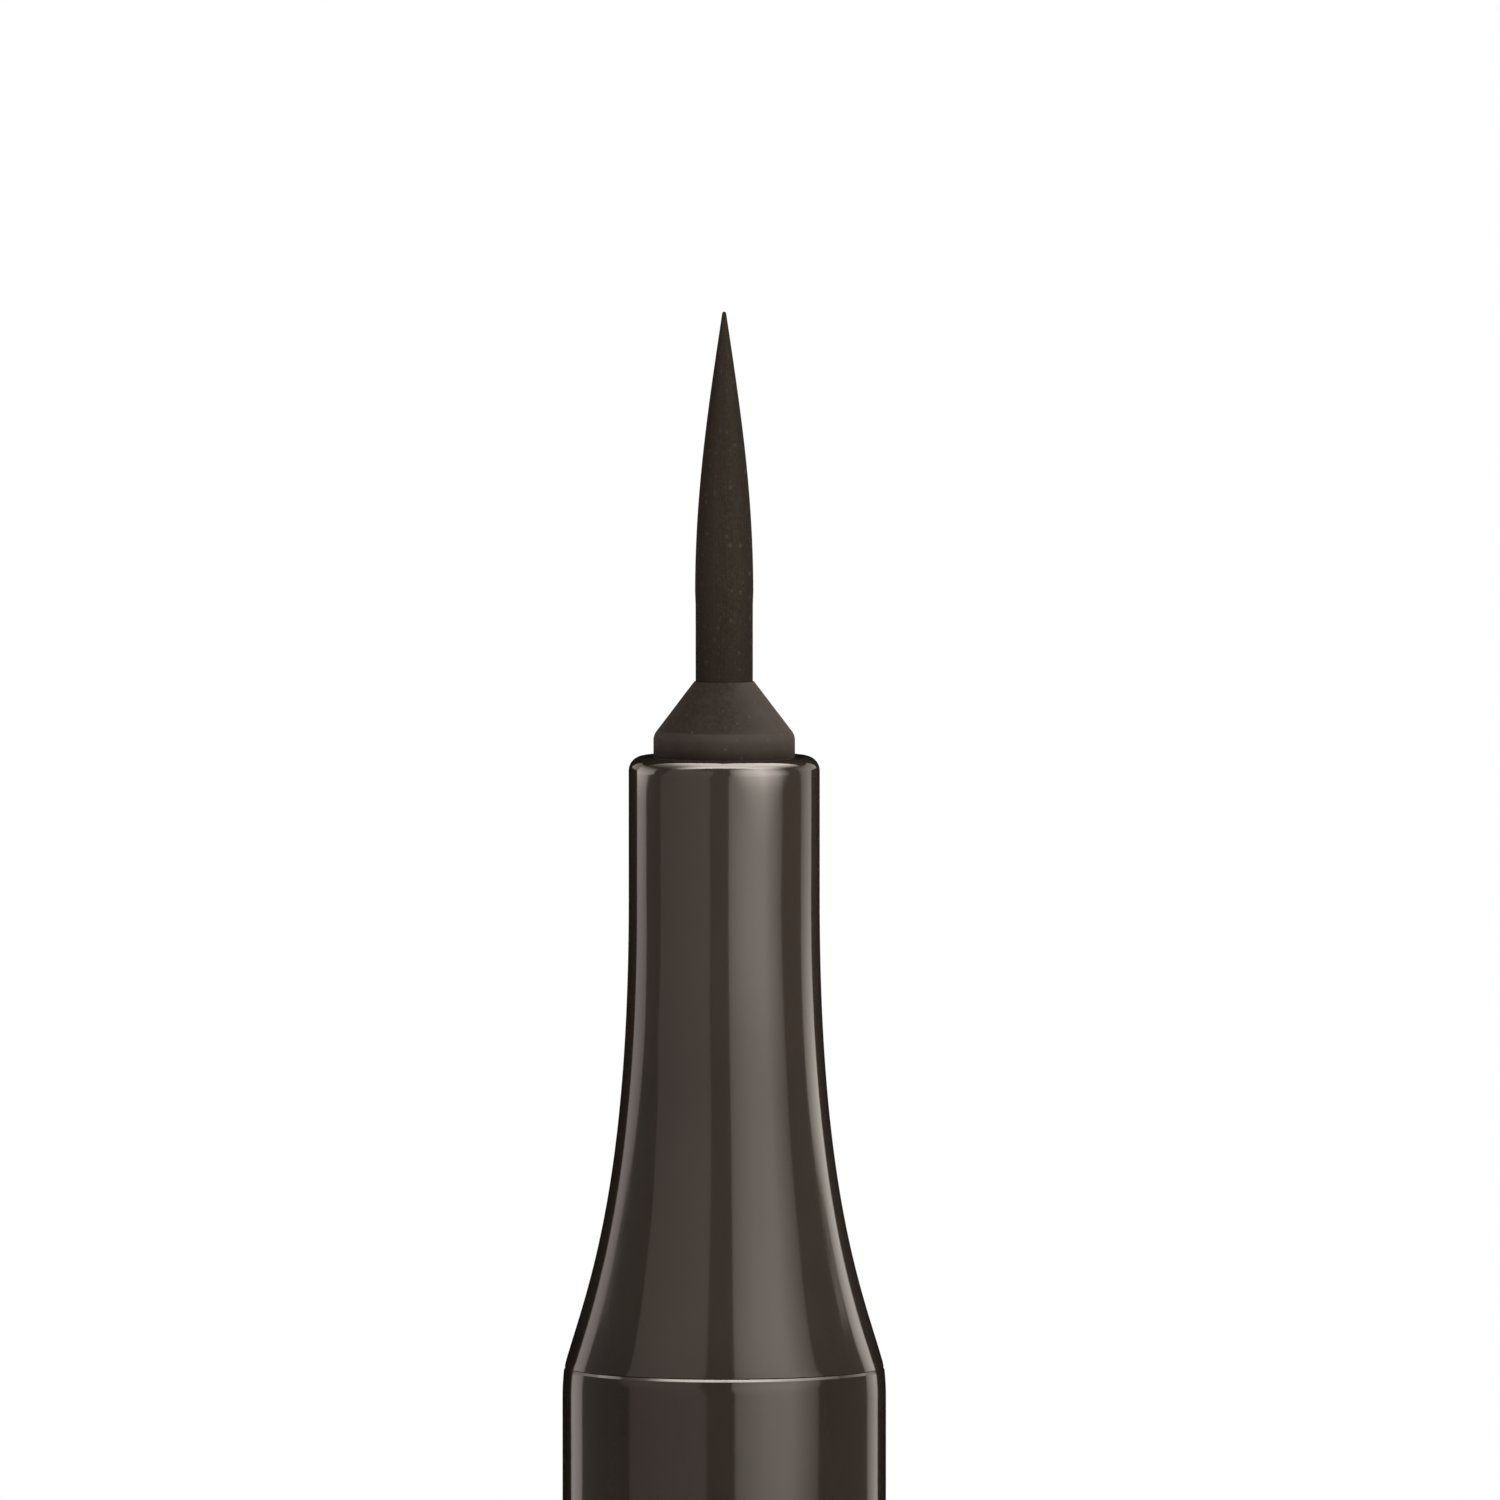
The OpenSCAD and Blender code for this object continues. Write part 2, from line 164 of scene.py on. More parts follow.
def held(outline):
    """The outline with a point close to both ends of every long straight run."""
    points = []
    for (r0, z0), (r1, z1) in zip(outline, outline[1:]):
        points.append((r0, z0))
        length = math.hypot(r1 - r0, z1 - z0)
        if length > 4 * HOLD:
            share = HOLD / length
            points.append((r0 + (r1 - r0) * share, z0 + (z1 - z0) * share))
            points.append((r1 - (r1 - r0) * share, z1 - (z1 - z0) * share))
    points.append(outline[-1])
    return points


def off_nearest(angle, count, first=0.0):
    """How far an angle is from the nearest of so many places, evenly spaced round the axis."""
    pitch = 2 * math.pi / count
    return (angle - first + pitch / 2) % pitch - pitch / 2


print("a straight run of 1 mm gets", len(held([(1, 0), (1, 1)])), "rings")

# %% Mesh helpers


def mesh_of(name, vertices, faces):
    """A mesh with smooth faces. Places are in metres."""
    mesh = bpy.data.meshes.new(name)
    mesh.from_pydata(vertices, [], faces)
    mesh.polygons.foreach_set("use_smooth", [True] * len(faces))
    return mesh


def wrap_round(mesh, wraps, vertices, sides):
    """A map for finishes: once round the piece across, and the height in millimetres upwards."""
    layer = mesh.uv_layers.new(name="wrap")
    at = 0
    for i, face in wraps:
        for v in face:
            x, y, z = vertices[v]
            turn = (math.atan2(x, y) / (2 * math.pi)) % 1
            if i == sides - 1 and turn < 0.5:
                turn += 1
            layer.data[at].uv = (turn, z / MM)
            at += 1


def join_rings(mesh):
    """Where a groove makes two rings meet, their points become one and the empty faces go."""
    work = bmesh.new()
    work.from_mesh(mesh)
    bmesh.ops.remove_doubles(work, verts=work.verts, dist=1e-8)
    work.to_mesh(mesh)
    work.free()


# %% Turn an outline


def turned(name, outline, sides=256, shape=None, smooth_below=28):
    """A closed solid turned round the axis, from an outline that starts and ends on the axis.
    shape(radius, height, angle) may change the radius at each point. Edges that bend by more
    than smooth_below degrees stay sharp."""
    points = held(outline)
    angles = [2 * math.pi * i / sides for i in range(sides)]
    vertices, rings, wraps = [], [], []
    for radius, height in points:
        if radius < 1e-9:
            rings.append([len(vertices)])
            vertices.append((0, 0, height * MM))
            continue
        rings.append(list(range(len(vertices), len(vertices) + sides)))
        for a in angles:
            r = shape(radius, height, a) if shape else radius
            vertices.append((r * math.sin(a) * MM, r * math.cos(a) * MM, height * MM))
    faces = []
    for low, high in zip(rings, rings[1:]):
        for i in range(sides):
            j = (i + 1) % sides
            if len(low) == 1 and len(high) == 1:
                break
            if len(low) == 1:
                face = (low[0], high[j], high[i])
            elif len(high) == 1:
                face = (low[j], high[0], low[i])
            else:
                face = (low[j], high[j], high[i], low[i])
            faces.append(face)
            wraps.append((i, face))
    mesh = mesh_of(name, vertices, faces)
    wrap_round(mesh, wraps, vertices, sides)
    join_rings(mesh)
    mesh.set_sharp_from_angle(angle=math.radians(smooth_below))
    return placed(name, mesh)


# %% Measure and fit a piece


def volume_of(piece):
    """Volume in cubic millimetres. It is only above zero when the faces look outwards."""
    mesh = piece.data
    mesh.calc_loop_triangles()
    corners = [[mesh.vertices[v].co / MM for v in triangle.vertices] for triangle in mesh.loop_triangles]
    return sum(a.dot(b.cross(c)) for a, b, c in corners) / 6


def fit(piece, body, slot, *nodes):
    """The piece takes the place of these nodes and moves with that body."""
    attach(piece, body)
    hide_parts(*nodes)
    size = piece.dimensions / MM
    print(f"{piece.name}: {len(piece.data.polygons)} faces, {size.x:.2f} x {size.y:.2f} x {size.z:.2f} mm,"
          f" {volume_of(piece):.1f} cubic mm")
    return piece


# %% [markdown]
# ## Brush tip
#
# The brush is a bundle of fine synthetic filaments, ground to a point, stiff enough to draw single
# hairs. Its outline is a quarter wave with a barely blunt point. The filaments could be hundreds of
# separate strands, but in the photograph they lie wet and close, and only a faint grain along the
# bundle is left. So one solid carries the outline, with a shallow groove between the filaments
# that fades out towards the point. Its fused foot sits in the holder, hidden, round the feed.

# %% Outline of the brush
brush_belly_r = 0.9
brush_belly_at = 8.65
brush_blunt = 0.072
brush_shank_r = 0.885
brush_foot_r = radius_of("brush_tip")
brush_foot_h = 0.5
root_z = foot_of("brush_tip")
feed_reach = 1.4
feed_slope = 0.75 / 2.4
feed_end_r = 0.25
seat_gap = 0.02
blunt_r = brush_belly_r * brush_blunt
shank_top_z = point_z - brush_belly_at - 0.4


def brush_side(steps):
    """The curve from just below the point down to the widest place."""
    side = []
    for t in np.linspace(0, 1, steps + 1)[1:]:
        radius = brush_belly_r * (math.sin(math.pi / 2 * t) + brush_blunt * (1 - t) ** 2)
        side.append((radius, point_z - blunt_r - t * (brush_belly_at - blunt_r)))
    return side


shank = [(brush_shank_r, z) for z in np.linspace(shank_top_z, exit_z, 12)]
brush_outline = (
    arc((0, point_z - blunt_r), blunt_r, 90, 0, 6)
    + brush_side(90)
    + shank
    + [(brush_shank_r, root_z + brush_foot_h),
       (brush_foot_r, root_z + brush_foot_h),
       (brush_foot_r, root_z),
       (feed_end_r + seat_gap + feed_reach * feed_slope, root_z),
       (feed_end_r + seat_gap, root_z + feed_reach + seat_gap),
       (0, root_z + feed_reach + seat_gap)])
brush_outline[0] = (0, point_z)
print(f"brush outline: {len(brush_outline)} points from {point_z:.2f} down to {root_z:.2f} mm")

# %% Brush piece
filaments = 52
filament_in = 0.006
rng = np.random.default_rng(7)
filament_size = rng.uniform(-1, 1, filaments)


def filament_grain(radius, height, angle):
    """A shallow valley between neighbouring filaments, only on the part that shows. The filaments
    sway a little on their way up, and some lie a touch deeper than others."""
    if height < exit_z - 0.5 or radius > brush_belly_r:
        return radius
    sway = 0.35 * math.sin(height * 0.9) + 0.2 * math.sin(height * 2.3 + 1)
    turn = (angle / (2 * math.pi) * filaments + sway) % filaments
    valley = 1 - abs(math.sin(math.pi * turn)) ** 0.7
    fade = min(1.0, (radius / brush_belly_r) * 1.4) ** 2
    level = 0.35 * filament_in * filament_size[int(turn)]
    return radius - fade * (filament_in * valley + max(level, 0) * (1 - valley))


brush_tip = turned("brush", brush_outline, sides=416, shape=filament_grain)
fit(brush_tip, "pen", "brush_fibre", "brush_tip")

# %% [markdown]
# ## Brush holder
#
# The holder is the small collar with a cone that grips the brush. It shows 0.6 mm of its straight
# part and its cone. Below the neck it runs on, with four air grooves along its side and a collar
# that stops at a step inside the front section. It is turned like the rest, and the grooves are
# pressed in where the angle says so.

# %% Holder piece
holder_r = 2.185
cone_h = 1.66
cone_edge_r = 0.45
holder_bore_r = brush_shank_r + seat_gap
cone_lip = 0.02
cone_top_r = holder_bore_r + cone_lip
collar_r = radius_of("brush_holder")
collar_z = foot_of("brush_holder")
collar_h = 1
step_z = collar_z + collar_h
cone_z = exit_z - cone_h
cone_slope = math.degrees(math.atan((holder_r - cone_top_r) / cone_h))
cone_edge_z = cone_z - cone_edge_r * math.tan(math.radians(cone_slope / 2))
holder_well_r = brush_foot_r + seat_gap
well_z = root_z + brush_foot_h

groove_count = 4
groove_w = 0.6
groove_in = 0.15
groove_below_neck = 0.1
groove_head_z = neck_z - groove_below_neck
# A groove or rib begins between two rings that stand this close together.
ring_step = 0.01


def air_grooves(radius, height, angle):
    """Four flat grooves along the hidden part of the holder."""
    if radius < holder_r - 0.01 or height > groove_head_z:
        return radius
    off = off_nearest(angle, groove_count)
    if abs(holder_r * math.sin(off)) < groove_w / 2:
        return (holder_r - groove_in) / math.cos(off)
    return radius


holder_outline = (
    [(holder_bore_r, well_z),
     (holder_well_r, well_z),
     (holder_well_r, collar_z),
     (collar_r, collar_z),
     (collar_r, step_z),
     (holder_r, step_z),
     (holder_r, groove_head_z),
     (holder_r, groove_head_z + ring_step)]
    + arc((holder_r - cone_edge_r, cone_edge_z), cone_edge_r, 0, cone_slope, 16)
    + [(cone_top_r, exit_z),
       (holder_bore_r, exit_z),
       (holder_bore_r, well_z)])
holder = turned("holder", holder_outline[::-1], sides=256, shape=air_grooves)
fit(holder, "pen", "holder_plastic", "brush_holder")

# %% [markdown]
# ## Front section
#
# The front section is the glossy part between the holder and the seam: a straight neck with a
# rounded rim, a long flare, and a small shoulder at the seam. Its reflections show every change of
# slope, so the flare is one smooth cubic curve and not a chain of cones. Below the seam it goes on
# as a plug with two sealing rings, which the barrel holds.

# %% Front section piece
neck_r = 2.95
neck_h = 4.37
rim_r = 0.46
flare_slope = math.radians(16.25)
flare_top_pull = 9
flare_foot_pull = 2.25
shoulder_r = 2.6
seam_slope = 11
seam_r = radius_of("front_section")
plug_r = 3.9
seal_r = 3.98
plug_z = foot_of("front_section")
seal_pitch = 3.2
seal_feet = (seam_z - seal_pitch, seam_z - 2 * seal_pitch)
seal_h = 1.2

foot_rise = shoulder_r * (math.sin(flare_slope) - math.sin(math.radians(seam_slope)))
foot_in = shoulder_r * (math.cos(math.radians(seam_slope)) - math.cos(flare_slope))
flare_foot = (seam_r - foot_in, seam_z + foot_rise)
flare_head = (neck_r, neck_z - neck_h)
flare = cubic([flare_head,
               (flare_head[0], flare_head[1] - flare_top_pull),
               (flare_foot[0] - flare_foot_pull * math.sin(flare_slope),
                flare_foot[1] + flare_foot_pull * math.cos(flare_slope)),
               flare_foot], 120)
shoulder_centre = (flare_foot[0] - shoulder_r * math.cos(flare_slope),
                   flare_foot[1] - shoulder_r * math.sin(flare_slope))
shoulder = arc(shoulder_centre, shoulder_r, math.degrees(flare_slope), seam_slope, 12)

plug = [(plug_r, seam_z)]
for foot in seal_feet:
    plug += [(plug_r, foot + seal_h), (seal_r, foot + seal_h), (seal_r, foot), (plug_r, foot)]
plug += [(plug_r, plug_z)]

fin_bore_r = 3.3
collar_bore_r = collar_r + seat_gap
neck_bore_r = holder_r + seat_gap
fins_below_collar = 6.05
fins_z = collar_z - fins_below_collar
front_bore = [(fin_bore_r, plug_z), (fin_bore_r, fins_z),
              (collar_bore_r, fins_z), (collar_bore_r, step_z),
              (neck_bore_r, step_z), (neck_bore_r, neck_z)]
rim = arc((neck_r - rim_r, neck_z - rim_r), rim_r, 90, 0, 28)

front_outline = front_bore[-1:] + rim + flare + shoulder[1:] + plug + front_bore
front = turned("front", front_outline, sides=320)
fit(front, "pen", "body_plastic", "front_section")

# %% [markdown]
# ## Barrel
#
# The barrel is a plain tube of 10 mm that holds the ink. The only thing that shows on it is the
# tiny bevel at the seam, which catches the light from above as one thin bright line. Below the
# bevel the tube swells by a few hundredths of a millimetre to its full width, in a soft crown.

# %% Barrel piece
barrel_bore_r = 4
bevel_h = 0.105
bevel_slope = math.radians(32)
crown_r = 8
crown_in = 0.045
edge_r = 0.12
crown_turn = math.acos(1 - crown_in / crown_r)
bevel_foot = (body_r - crown_in, seam_z - bevel_h)
crown_centre = (body_r - crown_r, bevel_foot[1] - crown_r * math.sin(crown_turn))
tail_z = foot_of("barrel")
barrel_outline = (
    [(barrel_bore_r, seam_z), (bevel_foot[0] - bevel_h * math.tan(bevel_slope), seam_z)]
    + arc(crown_centre, crown_r, math.degrees(crown_turn), 0, 10)
    + arc((body_r - edge_r, tail_z + edge_r), edge_r, 0, -90, 10)
    + [(barrel_bore_r, tail_z), (barrel_bore_r, seam_z)])
barrel = turned("barrel_tube", barrel_outline, sides=320, smooth_below=20)
fit(barrel, "pen", "body_plastic", "barrel")

# %% [markdown]
# ## Tail plug
#
# The tail plug closes the ink tank. Its slim end is the spigot that the cap is pushed onto, with six
# low ribs for grip, and its inside is a dish in which the stirring ball rests. The ribs are raised
# by the angle, as the holder's grooves are sunk.

# %% Tail plug piece
spigot_r = 4.25
spigot_edge_r = 0.5
insert_r = 3.98
tail_bore_r = 3.2
dish_rise = tail_bore_r * math.tan(math.radians(30))
spigot_z = foot_of("tail_plug")
spigot_floor = 1.4
dish_z = spigot_z + spigot_floor
insert_z = head_of("tail_plug")
rib_count = 6
rib_w = 0.6
rib_out = 0.03
rib_h = 6
rib_below_mouth = 0.1
rib_head_z = cap_top_z - rib_below_mouth
rib_foot_z = rib_head_z - rib_h


def grip_ribs(radius, height, angle):
    """Six low ribs along the spigot."""
    if abs(radius - spigot_r) > 0.001 or not rib_foot_z <= height <= rib_head_z:
        return radius
    off = off_nearest(angle, rib_count, first=math.pi / 2)
    if abs(spigot_r * math.sin(off)) < rib_w / 2:
        return (spigot_r + rib_out) / math.cos(off)
    return radius


spigot_runs = [(spigot_r, rib_foot_z - ring_step), (spigot_r, rib_foot_z),
               (spigot_r, rib_head_z), (spigot_r, rib_head_z + ring_step)]
tail_outline = (
    [(0, spigot_z)]
    + arc((spigot_r - spigot_edge_r, spigot_z + spigot_edge_r), spigot_edge_r, -90, 0, 14)
    + spigot_runs
    + [(spigot_r, cap_top_z), (insert_r, cap_top_z), (insert_r, insert_z),
       (tail_bore_r, insert_z), (tail_bore_r, dish_z + dish_rise), (0, dish_z)])
tail = turned("tail_end", tail_outline[::-1], sides=288, shape=grip_ribs)
fit(tail, "pen", "body_plastic", "tail_plug")

# %% [markdown]
# ## Stirring ball
#
# A small steel ball lies loose in the ink tank and stirs the pigment when the pen is shaken. An ico
# sphere would do, but a half circle from pole to pole, turned like the rest, is just as quick and
# gives the ball its map for finishes too.

# %% Ball piece
ball_foot_z, ball_head_z = foot_of("stirring_ball"), head_of("stirring_ball")
ball_r = (ball_head_z - ball_foot_z) / 2
ball = turned("steel_ball", arc((0, ball_foot_z + ball_r), ball_r, 90, -90, 48), sides=96)
fit(ball, "ball", "ball_steel", "stirring_ball")

# %% [markdown]
# ## Cap
#
# The cap is a tube with a closed, softly rounded end, which is the foot that the pen stands on here.
# Inside are a bead that holds the inner cap back and a small boss that centres the spring. Its mouth
# is coned to match the flare, so that the closed cap lies close on it.

# %% Cap piece
cap_bore_r = 4.3
cap_edge_r = 0.6
mouth_r = 4.70
mouth_h = 1.38
bead_r = 4.1
bead_foot_z = 8.4
bead_head_z = 9.2
cap_floor_z = 1.45
boss_r = 2.06
boss_head_z = 2.45
cap_outline = (
    [(0, 0)]
    + arc((body_r - cap_edge_r, cap_edge_r), cap_edge_r, -90, 0, 20)
    + arc((body_r - edge_r, cap_top_z - edge_r), edge_r, 0, 90, 10)
    + [(mouth_r, cap_top_z), (cap_bore_r, cap_top_z - mouth_h),
       (cap_bore_r, bead_head_z), (bead_r, (bead_head_z + bead_foot_z) / 2),
       (bead_r, bead_foot_z), (cap_bore_r, bead_foot_z),
       (cap_bore_r, cap_floor_z), (boss_r, cap_floor_z),
       (boss_r, boss_head_z), (0, boss_head_z)])
cap = turned("cap_shell_piece", cap_outline[::-1], sides=320)
fit(cap, "cap_shell", "body_plastic", "cap")

# %% [markdown]
# ## Cap spring
#
# A light wire spring in the cap's end pushes the inner cap onto the neck. It is a swept wire, rounder
# than the part's own, with nearly level coils at both ends. On the real pen the spring is squashed
# against the cap's floor when the inner cap is pushed down; this piece keeps its shape.

# %% Spring piece
spring_r = 2.8
wire_r = 0.22
spring_turns = 5
turn_rings = 40
wire_sides = 14
spring_foot_z = foot_of("cap_spring")
spring_head_z = head_of("cap_spring")
dead_turn = 0.55
dead_rise = 0.04


def spring_height(turn):
    """Height of the wire's centre: nearly level for about the first and the last half turn."""
    low, high = spring_foot_z + wire_r, spring_head_z - wire_r
    live = min(max((turn - dead_turn) / (spring_turns - 2 * dead_turn), 0), 1)
    ends = dead_rise * (min(turn, dead_turn) + max(turn - spring_turns + dead_turn, 0))
    return low + ends + (high - low - 2 * dead_rise * dead_turn) * live


vertices, faces = [], []
steps = spring_turns * turn_rings
for i in range(steps + 1):
    turn = i / turn_rings
    a = 2 * math.pi * turn
    z = spring_height(turn)
    for j in range(wire_sides):
        b = 2 * math.pi * j / wire_sides
        r = spring_r + wire_r * math.cos(b)
        vertices.append((r * math.cos(a) * MM, r * math.sin(a) * MM, (z + wire_r * math.sin(b)) * MM))
for i in range(steps):
    for j in range(wire_sides):
        k = (j + 1) % wire_sides
        low, high = i * wire_sides, (i + 1) * wire_sides
        faces.append((low + j, high + j, high + k, low + k))
faces.append(tuple(range(wire_sides)))
faces.append(tuple(steps * wire_sides + j for j in reversed(range(wire_sides))))
spring_mesh = mesh_of("spring_wire", vertices, faces)
spring_mesh.set_sharp_from_angle(angle=math.radians(50))
spring = placed("spring_wire", spring_mesh)
fit(spring, "cap_shell", "spring_steel", "cap_spring")
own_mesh(spring)

# %% [markdown]
# ## Tools for finishes
#
# Every finish is made of nodes, with no pictures. Most start the same way: the piece's own
# millimetres go into a noise, and the noise varies the colour, the gloss and the height of the
# surface a little. These small helpers keep the recipes short.

# %% Node helpers


def feed(node, key, value):
    """Gives an input of a node its value, or the socket that it takes its value from."""
    if isinstance(value, bpy.types.NodeSocket):
        node.id_data.links.new(value, node.inputs[key])
    else:
        node.inputs[key].default_value = value


def add(tree, kind, inputs=None, **settings):
    """A node with its settings and inputs."""
    made = tree.nodes.new(kind)
    for key, value in settings.items():
        setattr(made, key, value)
    for key, value in (inputs or {}).items():
        feed(made, key, value)
    return made


def new_finish(name, colour, roughness):
    """A material, its node tree and its surface shader."""
    finish = bpy.data.materials.new(name)
    finish.use_nodes = True
    shader = finish.node_tree.nodes["Principled BSDF"]
    feed(shader, "Base Color", linear(colour))
    feed(shader, "Roughness", roughness)
    feed(shader, "IOR", 1.5)
    finish.diffuse_color = linear(colour)
    return finish, finish.node_tree, shader


def linear(colour):
    """A colour written as on screen, 0 to 255, as the light that Blender wants."""
    made = []
    for c in colour:
        c = c / 255
        made.append(c / 12.92 if c <= 0.04045 else ((c + 0.055) / 1.055) ** 2.4)
    return (*made, 1)


print("a mid grey of 128 on screen is", round(linear((128, 128, 128))[0], 3), "of full light")

# %% Places on a piece


def own_mm(tree, stretch=(1, 1, 1)):
    """The piece's own place in millimetres, stretched along each axis."""
    place = add(tree, "ShaderNodeTexCoord")
    scale = tuple(s / MM for s in stretch)
    return add(tree, "ShaderNodeVectorMath", {0: place.outputs["Object"], 1: scale},
               operation="MULTIPLY").outputs["Vector"]


def height_mm(tree):
    """How high up the pen a point is, in millimetres."""
    return add(tree, "ShaderNodeSeparateXYZ", {"Vector": own_mm(tree)}).outputs["Z"]


def wrap_mm(tree, across, upwards):
    """The map round the piece, with so many units once round and so many to a millimetre up."""
    place = add(tree, "ShaderNodeUVMap", uv_map="wrap")
    return add(tree, "ShaderNodeVectorMath", {0: place.outputs["UV"], 1: (across, upwards, 1)},
               operation="MULTIPLY").outputs["Vector"]


def around(tree):
    """How far round the piece a point is, from 0 at the back, over the right, to 1."""
    place = add(tree, "ShaderNodeUVMap", uv_map="wrap")
    return add(tree, "ShaderNodeSeparateXYZ", {"Vector": place.outputs["UV"]}).outputs["X"]


# %% Patterns and mixes
# The sockets of a Mix node that take its two colours and give their mix.
COLOUR_A, COLOUR_B, COLOUR_MIX = 6, 7, 2


def noise(tree, place, scale, detail=3, roughness=0.5):
    """A cloudy value between 0 and 1."""
    return add(tree, "ShaderNodeTexNoise", {"Vector": place, "Scale": scale, "Detail": detail,
                                            "Roughness": roughness}).outputs["Fac"]


def spread(tree, value, low, high, to_low=0.0, to_high=1.0):
    """Maps a value from one range to another, and holds it inside."""
    return add(tree, "ShaderNodeMapRange", {"Value": value, "From Min": low, "From Max": high,
                                            "To Min": to_low, "To Max": to_high}).outputs["Result"]


def math_of(tree, operation, a, b=0.0):
    """One step of arithmetic on a socket."""
    return add(tree, "ShaderNodeMath", {0: a, 1: b}, operation=operation).outputs["Value"]


def times(tree, a, b):
    """A socket times another one or a number."""
    return math_of(tree, "MULTIPLY", a, b)


def blend(tree, share, first, second):
    """A colour between two, each written as on screen or as a socket."""
    mix = add(tree, "ShaderNodeMix", {"Factor": share}, data_type="RGBA")
    for key, colour in ((COLOUR_A, first), (COLOUR_B, second)):
        feed(mix, key, colour if isinstance(colour, bpy.types.NodeSocket) else linear(colour))
    return mix.outputs[COLOUR_MIX]


def relief(tree, shader, height, depth_mm):
    """Bumps of that depth on the surface."""
    bump = add(tree, "ShaderNodeBump", {"Height": height, "Distance": depth_mm * MM, "Strength": 1.0})
    feed(shader, "Normal", bump.outputs["Normal"])


# %% Specks


def specks(tree, place, size, share, ragged):
    """Small dots: 1 inside a dot, 0 elsewhere. share is how many of the cells have one, and
    ragged is how far their outline strays from round."""
    wobble = add(tree, "ShaderNodeTexNoise", {"Vector": place, "Scale": 6.0, "Detail": 2.0})
    stray = add(tree, "ShaderNodeVectorMath", {0: wobble.outputs["Color"], 1: (ragged, ragged, 0)},
                operation="MULTIPLY").outputs["Vector"]
    bent = add(tree, "ShaderNodeVectorMath", {0: place, 1: stray}, operation="ADD").outputs["Vector"]
    cells = add(tree, "ShaderNodeTexVoronoi", {"Vector": bent, "Scale": 1.0, "Randomness": 1.0},
                voronoi_dimensions="2D")
    dot = spread(tree, cells.outputs["Distance"], size, 0)
    pick = add(tree, "ShaderNodeSeparateColor", {"Color": cells.outputs["Color"]})
    chosen = math_of(tree, "LESS_THAN", pick.outputs["Red"], share)
    faint = spread(tree, pick.outputs["Green"], 0, 1, 0.25, 1)
    return times(tree, times(tree, dot, chosen), faint)


# %% Dress a piece


def dress(finish, *pieces):
    """Gives the finish to pieces, or to nodes of the part by name."""
    for piece in pieces:
        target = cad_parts[piece] if isinstance(piece, str) else piece
        target.data.materials.clear()
        target.data.materials.append(finish)
        for polygon in target.data.polygons:
            polygon.material_index = 0
        print(f"{target.name} wears {finish.name}")


# %% [markdown]
# ## Glossy body plastic
#
# The body is a hard brown-black plastic with a polished skin. The brown is in the plastic, and what
# makes it glossy is a clear surface reflection on top. Up close even a polished moulding has faint
# clouds, a very slight orange peel that makes the edges of reflections breathe, and hair-fine
# scratches. The front section is a shade lighter than the barrel. Its colour is painted darker near
# the seam, as painted shade where it meets the barrel, and lighter up towards the neck, as painted light.

# %% Body finish


def body_finish(name, shades, gloss_low, gloss_high):
    """Polished plastic with a gloss that varies a little. shades has pairs of a height in
    millimetres and a colour, from the bottom up."""
    finish, tree, shader = new_finish(name, shades[0][1], gloss_low)
    clouds = noise(tree, own_mm(tree, (0.5, 0.5, 0.22)), 1.0, detail=4, roughness=0.6)
    height = height_mm(tree)
    tone = shades[0][1]
    for (low, _), (high, colour) in zip(shades, shades[1:]):
        tone = blend(tree, spread(tree, height, low, high), tone, colour)
    lighter = blend(tree, spread(tree, clouds, 0.3, 0.7, 0, 0.06), tone, (100, 84, 72))
    feed(shader, "Base Color", lighter)
    hairs = noise(tree, wrap_mm(tree, 260, 0.9), 1.0, detail=2)
    dulled = spread(tree, hairs, 0.35, 0.75, gloss_low, gloss_high)
    feed(shader, "Roughness", dulled)
    peel = noise(tree, own_mm(tree), 1.4, detail=2, roughness=0.45)
    relief(tree, shader, peel, 0.0006)
    return finish


# The front's colours are darkest at the seam, which is painted shade where it meets the barrel, and
# lightest near the neck, which is painted light.
front_tones_and_painted_shading = ((seam_z, (40, 33, 28)), (seam_z + 1.8, (46, 39, 33)), (seam_z + 9, (47, 39, 34)),
                (seam_z + 12, (50, 42, 36)))
barrel_shades = ((tail_z, (36, 28, 23)), (seam_z, (38, 30, 25)))
dress(body_finish("front_gloss", front_tones_and_painted_shading, gloss_low=0.07, gloss_high=0.11), front)
dress(body_finish("barrel_gloss", barrel_shades, gloss_low=0.07, gloss_high=0.12), barrel)

# %% [markdown]
# ## Cap and tail plastic
#
# The cap is the piece that is handled and set down most. It has the barrel's plastic with a duller,
# scuffed foot. The tail plug is the same plastic, dulled along its spigot, where the cap rubs it.

# %% Cap and tail finish


def worn_finish(name, colour, lighter, foot_z, worn_h):
    """Body plastic that is duller and scuffed near its foot."""
    finish, tree, shader = new_finish(name, colour, 0.12)
    clouds = noise(tree, own_mm(tree, (0.6, 0.6, 0.3)), 1.0, detail=4, roughness=0.6)
    feed(shader, "Base Color", blend(tree, spread(tree, clouds, 0.3, 0.7), colour, lighter))
    low = spread(tree, height_mm(tree), foot_z + worn_h, foot_z)
    scuffs = noise(tree, own_mm(tree, (3, 3, 1.2)), 1.0, detail=5, roughness=0.7)
    worn = times(tree, low, spread(tree, scuffs, 0.35, 0.7))
    hairs = noise(tree, wrap_mm(tree, 220, 1.4), 1.0, detail=3)
    base = spread(tree, hairs, 0.35, 0.75, 0.08, 0.16)
    feed(shader, "Roughness", math_of(tree, "ADD", base, times(tree, worn, 0.3)))
    relief(tree, shader, scuffs, 0.0008)
    return finish


dress(worn_finish("cap_gloss", (37, 29, 24), (42, 33, 28), foot_z=0, worn_h=2.5), cap)
dress(worn_finish("tail_satin", (38, 31, 26), (45, 36, 31), foot_z=spigot_z, worn_h=8), tail)
